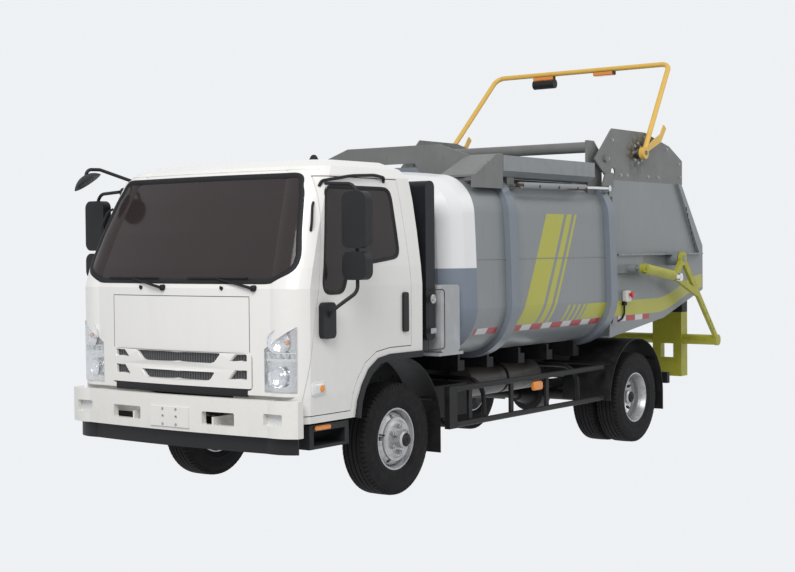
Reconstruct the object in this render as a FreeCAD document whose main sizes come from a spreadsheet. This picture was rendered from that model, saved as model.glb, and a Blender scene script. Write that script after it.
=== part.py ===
"""Light cab-over garbage truck with a barrel container, a rear tailgate and a bin lifter.

Lengths are in millimetres. X points to the truck's left, Y to its rear and Z up.
Stations along Y are measured from the front axle while a piece is built; each piece's
Placement then moves it so that the origin lies on the ground under the middle of the truck.
"""
import FreeCAD, Part
import math
import os
import re
import Sketcher

Vector = FreeCAD.Vector
Rotation = FreeCAD.Rotation
Placement = FreeCAD.Placement

SIZES = {
    # Overall stations and the ground
    "front_reach": 1259,
    "rear_reach": 4935,
    "wheelbase": 3360,
    "cut_overrun": 400,
    "seat_gap": 0.3,
    "run_gap": 6,
    # Wheels and tyres
    "tyre_radius": 388,
    "tyre_width": 205,
    "rim_radius": 222,
    "rim_width": 160,
    "rim_wall": 9,
    "rim_seat_radius": 203,
    "front_track_half": 835,
    "rear_outer_half": 955,
    "twin_spacing": 232,
    "disc_offset": 112,
    "disc_flat_radius": 118,
    "disc_wall": 14,
    "hub_radius": 58,
    "hub_reach": 150,
    "hand_hole_radius": 15,
    "hand_hole_circle": 158,
    "hand_hole_count": 5,
    "hand_hole_turn": 102,
    "drum_radius": 110,
    "drum_length": 95,
    # Frame
    "rail_outer_half": 375,
    "rail_height": 180,
    "rail_flange": 65,
    "rail_wall": 7,
    "rail_top": 780,
    "frame_front": 1010,
    "rear_overhang": 820,
    "cross_tube_radius": 38,
    "underrun_half": 950,
    "underrun_height": 100,
    "underrun_depth": 50,
    "underrun_low": 440,
    # Axles, springs and drive line
    "kingpin_half": 722,
    "kingpin_radius": 19,
    "axle_eye_radius": 42,
    "axle_eye_height": 110,
    "axle_beam_depth": 80,
    "axle_beam_height": 76,
    "axle_beam_drop": 60,
    "spindle_radius": 34,
    "fork_wall": 28,
    "backplate_radius": 160,
    "backplate_wall": 10,
    "spring_half": 345,
    "spring_width": 60,
    "front_spring_span": 1060,
    "front_spring_sag": 110,
    "front_spring_pack": 40,
    "rear_spring_span": 1180,
    "rear_spring_sag": 80,
    "rear_spring_pack": 84,
    "rear_axle_radius": 60,
    "rear_axle_half": 640,
    "diff_radius": 165,
    "diff_width": 190,
    "shaft_radius": 38,
    "shaft_front_height": 620,
    "engine_front": 340,
    "engine_length": 840,
    "engine_half": 265,
    "engine_low": 470,
    "engine_height": 420,
    # Bumper and front lower parts
    "bumper_low": 520,
    "bumper_top": 752,
    "bumper_half": 1022,
    "bumper_wall": 42,
    "bumper_side_end": 1112,
    "bumper_crown": 38,
    "bumper_corner_run": 210,
    "bumper_corner_depth": 85,
    "bumper_slot_low": 575,
    "bumper_slot_height": 85,
    "bumper_slot_near": 280,
    "bumper_slot_width": 270,
    "bumper_lamp_half": 855,
    "bumper_lamp_width": 150,
    "bumper_lamp_low": 590,
    "bumper_lamp_height": 80,
    "fog_lamp_depth": 60,
    "bumper_stay_seat": 25,
    "plate_bracket_half": 175,
    "plate_bracket_low": 545,
    "plate_bracket_height": 130,
    "plate_bracket_wall": 9,
    "plate_hole_half": 60,
    "plate_hole_radius": 11,
    "valance_low": 412,
    "valance_half": 985,
    "valance_inset": 40,
    "valance_depth": 210,
    # Cab
    "cab_half": 1018,
    "cab_front": 1180,
    "cab_rear": 190,
    "cab_wall": 42,
    "cab_front_low": 772,
    "cab_side_low": 600,
    "cab_belt": 1450,
    "cab_eave": 2180,
    "cab_roof": 2290,
    "cab_corner_run": 235,
    "cab_corner_depth": 150,
    "cab_crown": 42,
    "cab_rear_corner": 60,
    "windscreen_rake": 305,
    "roof_front_run": 240,
    "roof_rear_run": 90,
    "eave_inset": 88,
    "roof_inset": 210,
    "cab_floor_high": 990,
    "tunnel_half": 430,
    "tunnel_high": 870,
    "cab_pin_station": 980,
    "cab_pin_height": 820,
    "cab_pin_radius": 16,
    "cab_post_width": 80,
    "cab_rest_station": 130,
    "cab_rest_depth": 60,
    "arch_start": 570,
    "arch_rise_run": 380,
    "screen_low": 1490,
    "screen_high": 2178,
    "screen_half": 935,
    "screen_top_half": 812,
    "screen_low_half": 770,
    "screen_wide_height": 1600,
    "glass_wall": 6,
    "glass_inset": 6,
    "rear_glass_half": 620,
    "rear_glass_low": 1500,
    "rear_glass_high": 2080,
    # Doors
    "door_front_low": 1090,
    "door_front_high": 800,
    "door_rear": 55,
    "door_rear_high": 15,
    "door_low": 650,
    "door_top": 2165,
    "door_sill_high": 1035,
    "door_sill_run": 50,
    "door_gap": 6,
    "door_hinge_inset": 12,
    "window_sill_front": 1415,
    "window_sill_rear": 1640,
    "window_step": 690,
    "window_frame": 62,
    "door_handle_height": 270,
    "door_handle_width": 58,
    "door_handle_low": 1130,
    "door_handle_proud": 16,
    # Grille, lamps and cab trim
    "grille_half": 640,
    "grille_low": 800,
    "grille_high": 1035,
    "grille_depth": 45,
    "grille_bar_height": 34,
    "headlamp_low": 800,
    "headlamp_high": 1250,
    "headlamp_inner": 735,
    "headlamp_step": 180,
    "headlamp_proud": 5,
    "headlamp_depth": 60,
    "flare_wall": 26,
    "flare_height": 44,
    "dash_depth": 300,
    "dash_low": 1120,
    "dash_high": 1400,
    "seat_width": 480,
    "seat_half": 560,
    "seat_depth": 470,
    "seat_cushion": 120,
    "seat_base_high": 1165,
    "seat_back_height": 640,
    "seat_back_wall": 120,
    "steering_radius": 205,
    "steering_tube": 15,
    "steering_station": 560,
    "steering_height": 1400,
    "steering_side": 560,
    "column_radius": 28,
    "wiper_radius": 9,
    # Mirrors
    "mirror_reach": 1285,
    "mirror_width": 190,
    "mirror_depth": 75,
    "mirror_height": 360,
    "mirror_low": 1700,
    "small_mirror_height": 180,
    "small_mirror_low": 1500,
    "mirror_station": 765,
    "mirror_tube": 12,
    "mirror_base_high": 1360,
    "mirror_base_low": 1130,
    "mirror_base_width": 130,
    "front_mirror_radius": 108,
    # Steps and mudguards
    "step_front": 1010,
    "step_rear": 610,
    "step_inner": 760,
    "step_outer": 985,
    "step_low": 430,
    "step_high": 585,
    "guard_radius": 505,
    "guard_rise": 450,
    "guard_wall": 6,
    "guard_inner": 700,
    "guard_outer": 965,
    "flap_low": 240,
    "rear_guard_radius": 500,
    "rear_guard_rise": 400,
    "rear_guard_inner": 600,
    "rear_guard_outer": 1062,
    # Side guards and boxes between the axles
    "side_guard_half": 1000,
    "side_guard_front": 610,
    "side_guard_stop": 530,
    "side_guard_low": 427,
    "side_guard_high": 685,
    "side_guard_tube": 22,
    "side_panel_width": 100,
    "battery_front": 640,
    "battery_length": 520,
    "battery_low": 450,
    "battery_height": 230,
    "battery_width": 330,
    "tank_front": 1250,
    "tank_length": 780,
    "tank_low": 380,
    "tank_height": 360,
    "tank_width": 430,
    "tank_corner": 70,
    "air_tank_radius": 118,
    "air_tank_length": 500,
    "air_tank_front": 1380,
    "silencer_radius": 120,
    "silencer_length": 620,
    "silencer_front": 620,
    "box_clear": 40,
    # Container
    "barrel_front": 850,
    "barrel_rear": 2950,
    "dish_reach": 330,
    "barrel_half": 1046,
    "barrel_top_half": 1022,
    "barrel_widest": 1250,
    "barrel_shoulder": 1960,
    "barrel_floor": 905,
    "barrel_floor_half": 720,
    "barrel_roof": 2285,
    "barrel_roof_half": 720,
    "barrel_roof_edge": 2243,
    "barrel_wall": 10,
    "rib_depth": 48,
    "rib_width": 115,
    "rib_front_station": 1250,
    "rib_rear_station": 2830,
    "skid_height": 100,
    "skid_front": 460,
    "skid_rear": 4120,
    "bearer_half": 800,
    "bearer_width": 90,
    "bearer_height": 60,
    "cover_front": 1262,
    "cover_rear": 2690,
    "cover_low": 2235,
    "cover_high": 2392,
    "cover_outer": 1018,
    "cover_inner": 790,
    "cover_wall": 8,
    "gusset_front": 875,
    "gusset_low": 2140,
    "gusset_high": 2405,
    "gusset_rise": 95,
    "roll_station": 2752,
    "roll_height": 2530,
    "roll_radius": 46,
    "hinge_station": 2902,
    "hinge_height": 2438,
    "hinge_pin_radius": 30,
    "hinge_boss_radius": 68,
    "hinge_plate_wall": 24,
    "hinge_plate_half": 948,
    "eye_plate_wall": 16,
    "snorkel_station": 330,
    "snorkel_half": 905,
    "snorkel_width": 110,
    "snorkel_depth": 170,
    "snorkel_low": 1050,
    "snorkel_high": 2170,
    "locker_front": 250,
    "locker_length": 240,
    "locker_low": 955,
    "locker_height": 480,
    "locker_outer": 1010,
    "locker_width": 260,
    "shelf_wall": 22,
    # Tailgate
    "gate_gap": 22,
    "gate_half": 1002,
    "gate_wall": 10,
    "gate_reach": 4845,
    "gate_tail_low": 1285,
    "gate_tail_high": 1700,
    "gate_top_rear": 4390,
    "gate_top": 2262,
    "gate_floor": 925,
    "gate_hip_station": 4000,
    "gate_hip_height": 1052,
    "gate_inner_sill": 1100,
    "head_plate_wall": 14,
    "head_front": 2722,
    "head_front_low": 2425,
    "head_rise_station": 3030,
    "head_top": 2700,
    "head_flat_rear": 3640,
    "head_rear": 4400,
    "head_rear_high": 2480,
    "head_hip_station": 4130,
    "head_hip_height": 2602,
    "head_front_heel": 2960,
    "head_hole_radius": 38,
    "head_hole_station": 3045,
    "head_hole_height": 2330,
    "ledge_height": 1620,
    "ledge_proud": 62,
    "ledge_wall": 14,
    "ledge_front": 3030,
    "stiffener_width": 60,
    "stiffener_proud": 30,
    "tail_lamp_low": 1085,
    "tail_lamp_height": 130,
    "tail_lamp_width": 300,
    "tail_lamp_depth": 110,
    "tail_lamp_half": 940,
    "tail_lamp_station": 4500,
    "lug_station": 2868,
    "lug_height": 2185,
    "lug_half": 1052,
    "lug_wall": 16,
    "lug_radius": 34,
    "ram_pin_radius": 12,
    "gate_ram_front": 1450,
    "gate_ram_height": 2170,
    "gate_ram_radius": 25,
    "gate_ram_rod": 13,
    "gate_ram_barrel": 1010,
    # Lift arms
    "arm_pivot_station": 4105,
    "arm_pivot_height": 1585,
    "arm_half": 1125,
    "arm_wall": 30,
    "arm_reach_station": 4857,
    "arm_reach_height": 806,
    "arm_boss_radius": 62,
    "arm_pin_radius": 26,
    "arm_tip_radius": 52,
    "crank_station": 3952,
    "crank_height": 1420,
    "crank_boss_radius": 38,
    "arm_web": 62,
    "cross_tube_half": 1100,
    "lift_tube_radius": 48,
    "ram_front_station": 3241,
    "ram_front_height": 1510,
    "ram_radius": 45,
    "ram_rod_radius": 22,
    "ram_barrel_length": 575,
    "ram_eye_radius": 36,
    "grab_inner": 500,
    "grab_outer": 800,
    "grab_front": 4800,
    "grab_low": 450,
    "grab_high": 1100,
    "grab_wall": 14,
    "grab_window_inset": 60,
    "beam_height": 70,
    # Hoop
    "hoop_station": 3505,
    "hoop_height": 2512,
    "hoop_half": 1059,
    "hoop_top_station": 4291,
    "hoop_top_height": 3373,
    "hoop_top_half": 932,
    "hoop_tube": 23,
    "hoop_bend": 90,
    "hoop_boss_radius": 52,
    "hoop_pin_radius": 20,
    "work_lamp_radius": 45,
    "work_lamp_length": 230,
    "marker_lamp_length": 210,
    "marker_lamp_height": 32,
    "marker_lamp_depth": 60,
}

doc = FreeCAD.newDocument("GarbageTruck")
sheet = doc.addObject("Spreadsheet::Sheet", "Sizes")
for row, (alias, size) in enumerate(SIZES.items(), start=1):
    sheet.set("A%d" % row, alias)
    sheet.set("B%d" % row, str(size))
    sheet.setAlias("B%d" % row, alias)
mid_row = len(SIZES) + 1
sheet.set("A%d" % mid_row, "mid_station")
sheet.set("B%d" % mid_row, "=(rear_reach - front_reach) / 2")
sheet.setAlias("B%d" % mid_row, "mid_station")
doc.recompute()


class Cells:
    """Reads a size from the sheet by its name."""

    def __getattr__(self, name):
        return float(sheet.get(name))


c = Cells()
ALIASES = re.compile(r"\b(" + "|".join(sorted(list(SIZES) + ["mid_station"], key=len, reverse=True)) + r")\b")
subparts = []


def bound(text):
    """An expression in which every size's name points at its cell."""
    return ALIASES.sub(r"Sizes.\1", text)


def keep(thing, label):
    """Names a sub-part and moves it from axle stations to the truck's own origin."""
    thing.Label = label
    thing.setExpression("Placement.Base.y", bound("-mid_station"))
    subparts.append(thing)
    return thing


def feature(label, shape):
    thing = doc.addObject("Part::Feature", label)
    thing.Shape = shape
    return keep(thing, label)


def block(name, size, corner):
    """A box whose sides and low corner are bound to the sheet."""
    thing = doc.addObject("Part::Box", name)
    for side, text in zip(("Length", "Width", "Height"), size):
        thing.setExpression(side, bound(text))
    for axis, text in zip("xyz", corner):
        thing.setExpression("Placement.Base." + axis, bound(text))
    return thing


def rod(name, radius, length, start, axis):
    """A cylinder bound to the sheet that starts at a point and runs along an axis."""
    thing = doc.addObject("Part::Cylinder", name)
    thing.setExpression("Radius", bound(radius))
    thing.setExpression("Height", bound(length))
    thing.Placement = Placement(Vector(), Rotation(Vector(0, 0, 1), axis))
    for letter, text in zip("xyz", start):
        thing.setExpression("Placement.Base." + letter, bound(text))
    return thing


def fused(name, things):
    thing = doc.addObject("Part::MultiFuse", name)
    thing.Shapes = things
    return thing


def cut(name, base, tools):
    thing = doc.addObject("Part::Cut", name)
    thing.Base = base
    thing.Tool = tools[0] if len(tools) == 1 else fused(name + "_tools", tools)
    return thing


def turned_body(name, outline):
    """A body revolved about X from an outline of (x, radius) expressions."""
    body = doc.addObject("PartDesign::Body", name)
    sketch = outline_sketch(body, name + "_section", "XZ_Plane", outline)
    turn = body.newObject("PartDesign::Revolution", name + "_turn")
    turn.Profile = sketch
    turn.ReferenceAxis = (sketch, ["H_Axis"])
    turn.Angle = 360
    return body, turn


def outline_sketch(body, name, role, outline):
    """A closed sketch whose corners are bound to pairs of expressions."""
    sketch = body.newObject("Sketcher::SketchObject", name)
    plane = [item for item in body.Origin.OriginFeatures if item.Role == role][0]
    sketch.AttachmentSupport = [(plane, "")]
    sketch.MapMode = "FlatFace"
    texts = [(bound(across), bound(up)) for across, up in outline]
    corners = [Vector(value_of(across), value_of(up), 0) for across, up in texts]
    count = len(corners)
    for index in range(count):
        sketch.addGeometry(Part.LineSegment(corners[index], corners[(index + 1) % count]))
    for index in range(count):
        sketch.addConstraint(Sketcher.Constraint("Coincident", index, 2, (index + 1) % count, 1))
    for index in range(count):
        for kind, text, value in (("DistanceX", texts[index][0], corners[index].x),
                                  ("DistanceY", texts[index][1], corners[index].y)):
            number = sketch.addConstraint(Sketcher.Constraint(kind, -1, 1, index, 1, value))
            sketch.setExpression("Constraints[%d]" % number, text)
    return sketch


def value_of(text):
    """What an expression on the sheet is worth now."""
    worth = sheet.evalExpression(text)
    return float(getattr(worth, "Value", worth))


def prism(points, axis, start, end):
    """A solid from an outline drawn across an axis, from one place on it to another."""
    if axis == "x":
        corners = [Vector(start, a, b) for a, b in points]
        run = Vector(end - start, 0, 0)
    elif axis == "y":
        corners = [Vector(a, start, b) for a, b in points]
        run = Vector(0, end - start, 0)
    else:
        corners = [Vector(a, b, start) for a, b in points]
        run = Vector(0, 0, end - start)
    return Part.Face(Part.makePolygon(corners + corners[:1])).extrude(run)


def soft_outline(points, radius):
    """An outline's corners rounded by arcs, as a list of edges drawn in a plane."""
    count = len(points)
    starts, ends, arcs = [], [], []
    for index, corner in enumerate(points):
        before, after = points[index - 1] - corner, points[(index + 1) % count] - corner
        turn = math.pi - before.getAngle(after)
        own = radius[index] if isinstance(radius, (list, tuple)) else radius
        room = min(before.Length, after.Length) * 0.49
        back = min(own * math.tan(turn / 2), room)
        before.normalize()
        after.normalize()
        first, last = corner + before * back, corner + after * back
        if back > 0.5 and turn > 0.02:
            middle_way = (before + after).normalize()
            size = back / math.tan(turn / 2)
            middle = corner + middle_way * (size / math.cos(turn / 2) - size)
            arcs.append(Part.Arc(first, middle, last).toShape())
        else:
            first = last = corner
            arcs.append(None)
        starts.append(first)
        ends.append(last)
    edges = []
    for index in range(count):
        if arcs[index]:
            edges.append(arcs[index])
        onward = starts[(index + 1) % count]
        if (onward - ends[index]).Length > 0.01:
            edges.append(Part.LineSegment(ends[index], onward).toShape())
    return Part.Wire(edges)


def soft_prism(points, axis, start, end, radius):
    """A prism with its outline's corners rounded."""
    place = {"x": lambda a, b: Vector(start, a, b), "y": lambda a, b: Vector(a, start, b),
             "z": lambda a, b: Vector(a, b, start)}[axis]
    run = {"x": Vector(1, 0, 0), "y": Vector(0, 1, 0), "z": Vector(0, 0, 1)}[axis] * (end - start)
    return Part.Face(soft_outline([place(a, b) for a, b in points], radius)).extrude(run)


def cuboid(x0, x1, y0, y1, z0, z1):
    return Part.makeBox(x1 - x0, y1 - y0, z1 - z0, Vector(x0, y0, z0))


def bar(radius, start, end):
    """A round bar between two points."""
    run = end - start
    return Part.makeCylinder(radius, run.Length, start, run)


def bent_tube(radius, points, bend):
    """A tube along straight runs joined by tangent arcs."""
    edges, last = [], points[0]
    for index in range(1, len(points) - 1):
        corner = points[index]
        before, after = (points[index - 1] - corner), (points[index + 1] - corner)
        turn = math.pi - before.getAngle(after)
        back = min(bend * math.tan(turn / 2), 0.45 * min(before.Length, after.Length))
        before.normalize()
        after.normalize()
        size = back / math.tan(turn / 2)
        first, onward = corner + before * back, corner + after * back
        middle = corner + (before + after).normalize() * (size / math.cos(turn / 2) - size)
        edges.append(Part.LineSegment(last, first).toShape())
        edges.append(Part.Arc(first, middle, onward).toShape())
        last = onward
    edges.append(Part.LineSegment(last, points[-1]).toShape())
    path = Part.Wire(edges)
    section = Part.Wire(Part.makeCircle(radius, points[0], points[1] - points[0]))
    return path.makePipeShell([section], True, False)


def mirrored(shape):
    return shape.mirror(Vector(), Vector(1, 0, 0))


def both_sides(shape):
    return Part.makeCompound([shape, mirrored(shape)])


def union(shapes):
    return shapes[0].multiFuse(shapes[1:]).removeSplitter()


# Frame rails, cross tubes and the rear underrun bar
def build_frame():
    rails = []
    for side, sign in (("left", 1), ("right", -1)):
        low_x = "rail_outer_half - rail_flange" if sign > 0 else "-rail_outer_half"
        slot_x = low_x if sign > 0 else "rail_wall - rail_outer_half"
        outer = block("rail_" + side, ("rail_flange", "wheelbase + rear_overhang + frame_front", "rail_height"),
                      (low_x, "-frame_front", "rail_top - rail_height"))
        slot = block("rail_slot_" + side,
                     ("rail_flange - rail_wall", "wheelbase + rear_overhang + frame_front", "rail_height - 2 * rail_wall"),
                     (slot_x, "-frame_front", "rail_top - rail_height + rail_wall"))
        rails.append(cut("channel_" + side, outer, [slot]))
    cross = []
    for number, share in enumerate((0.02, 0.36, 0.55, 0.74, 0.985)):
        station = "%s * (wheelbase + rear_overhang + frame_front) - frame_front" % share
        cross.append(rod("cross_%d" % number, "cross_tube_radius", "2 * (rail_outer_half - rail_wall / 2)",
                         ("rail_wall / 2 - rail_outer_half", station, "rail_top - rail_height / 2"),
                         Vector(1, 0, 0)))
    bar_box = block("underrun_bar", ("2 * underrun_half", "underrun_depth", "underrun_height"),
                    ("-underrun_half", "wheelbase + rear_overhang", "underrun_low"))
    legs = []
    for side, text in (("left", "rail_outer_half - rail_wall"), ("right", "-rail_outer_half")):
        legs.append(block("underrun_leg_" + side,
                          ("rail_wall", "underrun_depth + rail_flange", "rail_top - underrun_low"),
                          (text, "wheelbase + rear_overhang - rail_flange", "underrun_low")))
    posts = []
    for side, low_x, pin_x in (("left", "rail_outer_half", "rail_outer_half"),
                               ("right", "-rail_outer_half - 2 * rail_wall",
                                "-tunnel_half - cab_wall + run_gap")):
        posts.append(block("cab_post_" + side,
                           ("2 * rail_wall", "cab_post_width", "cab_pin_height + 2 * cab_pin_radius - rail_top"
                            " + rail_height - 2 * rail_wall"),
                           (low_x, "-cab_pin_station - cab_post_width / 2 + cab_pin_radius",
                            "rail_top - rail_height + 2 * rail_wall")))
        posts.append(rod("cab_pin_" + side, "cab_pin_radius", "tunnel_half + cab_wall - run_gap - rail_outer_half",
                         (pin_x, "-cab_pin_station", "cab_pin_height"), Vector(1, 0, 0)))
        rest_x = "rail_outer_half - rail_flange" if side == "left" else "-rail_outer_half"
        posts.append(block("cab_rest_" + side, ("rail_flange", "cab_rest_depth",
                                                "cab_floor_high - seat_gap - rail_top"),
                           (rest_x, "cab_rest_station - cab_rest_depth / 2", "rail_top")))
    posts.append(block("cab_rest_bar", ("2 * rail_outer_half", "cab_rest_depth", "cab_rest_depth"),
                       ("-rail_outer_half", "cab_rest_station - cab_rest_depth / 2",
                        "cab_floor_high - seat_gap - cab_rest_depth")))
    keep(fused("frame", rails + cross + [bar_box] + legs + posts), "frame")


def build_engine():
    engine = block("engine_case", ("2 * engine_half", "0.7 * engine_length", "engine_height"),
                   ("-engine_half", "-engine_front", "engine_low"))
    gearbox = block("gearbox_case", ("1.2 * engine_half", "engine_length", "0.6 * engine_height"),
                    ("-0.6 * engine_half", "-engine_front", "engine_low + 0.15 * engine_height"))
    keep(fused("engine_block", [engine, gearbox]), "engine_block")


def spring(span, sag, pack, station, seat_z, clamp):
    """One leaf pack that hangs from the rail, with the plate that clamps the axle at its middle."""
    hang = seat_z + sag
    half = span / 2
    arc_low = Part.Arc(Vector(0, -half, hang), Vector(0, 0, seat_z), Vector(0, half, hang)).toShape()
    arc_top = Part.Arc(Vector(0, half, hang + pack / 3), Vector(0, 0, seat_z + pack),
                       Vector(0, -half, hang + pack / 3)).toShape()
    ends = [Part.LineSegment(Vector(0, half, hang), Vector(0, half, hang + pack / 3)).toShape(),
            Part.LineSegment(Vector(0, -half, hang + pack / 3), Vector(0, -half, hang)).toShape()]
    leaf = Part.Face(Part.Wire([arc_low, ends[0], arc_top, ends[1]])).extrude(Vector(c.spring_width, 0, 0))
    rail_low = c.rail_top - c.rail_height - c.seat_gap
    shapes = [leaf, cuboid(-c.rail_wall, c.spring_width + c.rail_wall, -clamp, clamp, seat_z - c.rail_wall * 3,
                           seat_z + pack + c.rail_wall)]
    for end in (-half, half):
        eye = Vector(0, end, hang + pack / 6)
        shapes.append(Part.makeCylinder(pack / 3 + c.run_gap, c.spring_width, eye, Vector(1, 0, 0)))
        shapes.append(cuboid(0, c.spring_width, end - pack / 3, end + pack / 3, hang, rail_low))
    solid = union(shapes)
    solid.translate(Vector(c.spring_half - c.spring_width / 2, station, 0))
    return solid


# Front axle beam with its kingpin eyes, and the steered knuckles
def front_axle():
    half, drop = c.kingpin_half - c.axle_eye_radius / 2, c.axle_beam_drop
    top, height = c.tyre_radius + c.axle_beam_height / 2, c.axle_beam_height
    shoulder, seat = c.spring_half - c.spring_width, c.spring_half - c.spring_width * 2
    upper = [(half, top), (shoulder, top), (seat, top - drop)]
    lower = [(seat - drop / 2, top - drop - height), (shoulder + drop / 2, top - height), (half, top - height)]
    outline = upper + [(-x, z) for x, z in reversed(upper)] + [(-x, z) for x, z in reversed(lower)] + lower
    beam = prism(outline, "y", -c.axle_beam_depth / 2, c.axle_beam_depth / 2)
    eyes, bores = [], []
    for sign in (1, -1):
        low = Vector(sign * c.kingpin_half, 0, c.tyre_radius - c.axle_eye_height / 2)
        eyes.append(Part.makeCylinder(c.axle_eye_radius, c.axle_eye_height, low))
        bores.append(Part.makeCylinder(c.kingpin_radius + c.seat_gap / 6, c.axle_eye_height, low))
    packs = spring(c.front_spring_span, c.front_spring_sag, c.front_spring_pack, 0, top, c.axle_beam_depth * 0.6)
    return union([beam, packs, mirrored(packs)] + eyes).cut(Part.makeCompound(bores))


def build_knuckle(label, sign):
    """Fork, kingpin, spindle and brake back plate of one steered wheel."""
    x, z, wall = c.kingpin_half, c.tyre_radius, c.fork_wall
    eye = c.axle_eye_height / 2 + c.run_gap
    reach = x + c.axle_eye_radius + c.run_gap
    pin = Part.makeCylinder(c.kingpin_radius, 2 * (eye + wall), Vector(x, 0, z - eye - wall))
    shapes = [pin]
    for low in (z + eye, z - eye - wall):
        shapes.append(Part.makeCylinder(c.axle_eye_radius, wall, Vector(x, 0, low)))
        shapes.append(cuboid(x, reach + wall, -c.axle_eye_radius, c.axle_eye_radius, low, low + wall))
    shapes.append(cuboid(reach, reach + wall, -c.axle_eye_radius, c.axle_eye_radius,
                         z - eye - wall, z + eye + wall))
    plate_x = reach + wall
    shapes.append(bar(c.backplate_radius, Vector(plate_x - c.backplate_wall, 0, z), Vector(plate_x, 0, z)))
    end = c.front_track_half + c.disc_offset
    shapes.append(bar(c.spindle_radius, Vector(reach, 0, z), Vector(end, 0, z)))
    solid = union(shapes)
    feature(label, solid if sign > 0 else mirrored(solid))


# Leaf springs with their eyes and hangers
def rear_axle():
    """Axle tube, differential bowl and the shaft that drives it."""
    y, z = c.wheelbase, c.tyre_radius
    tube = bar(c.rear_axle_radius, Vector(-c.rear_axle_half, y, z), Vector(c.rear_axle_half, y, z))
    spindle_end = c.rear_outer_half - c.disc_offset + c.hub_reach
    spindle = bar(c.spindle_radius, Vector(-spindle_end, y, z), Vector(spindle_end, y, z))
    bowl = bar(c.diff_radius, Vector(0, y - c.diff_width / 2, z), Vector(0, y + c.diff_width / 3, z))
    cover = Part.makeCone(c.diff_radius, c.diff_radius * 0.6, c.diff_width / 3, Vector(0, y + c.diff_width / 3, z),
                          Vector(0, 1, 0))
    nose_end = y - c.diff_width * 1.4
    nose = Part.makeCone(c.shaft_radius * 1.5, c.diff_radius * 0.7, y - c.diff_width / 2 - nose_end,
                         Vector(0, nose_end, z), Vector(0, 1, 0))
    packs = spring(c.rear_spring_span, c.rear_spring_sag, c.rear_spring_pack, y, z + c.rear_axle_radius,
                   c.rear_axle_radius * 1.2)
    shaft_start = Vector(0, nose_end - c.seat_gap, z)
    shaft_end = Vector(0, c.engine_length - c.engine_front + c.seat_gap, c.shaft_front_height)
    shaft = bar(c.shaft_radius, shaft_start, shaft_end).cut(union([nose, bowl]))
    shaft = shaft.common(cuboid(-c.diff_width, c.diff_width, shaft_end.y, shaft_start.y, 0, c.rail_top))
    return Part.makeCompound([union([tube, spindle, bowl, cover, nose, packs, mirrored(packs)]), shaft])


# Wheels: steel rims revolved about the axle, with hand holes, and their tyres
RIM_SHARES = ((-0.50, 1.00), (-0.50, 0.955), (-0.43, 0.915), (-0.36, 0.90), (-0.16, 0.865), (0.16, 0.865),
              (0.36, 0.90), (0.43, 0.915), (0.50, 0.955), (0.50, 1.00))


def spun(points):
    """The solid that a closed outline sweeps about the wheel's axle."""
    face = Part.Face(Part.makePolygon(points + points[:1]))
    if not face.isValid():
        raise RuntimeError("a wheel outline crosses itself")
    solid = face.revolve(Vector(), Vector(1, 0, 0), 360)
    return solid if solid.Volume > 0 else solid.reversed()


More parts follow.
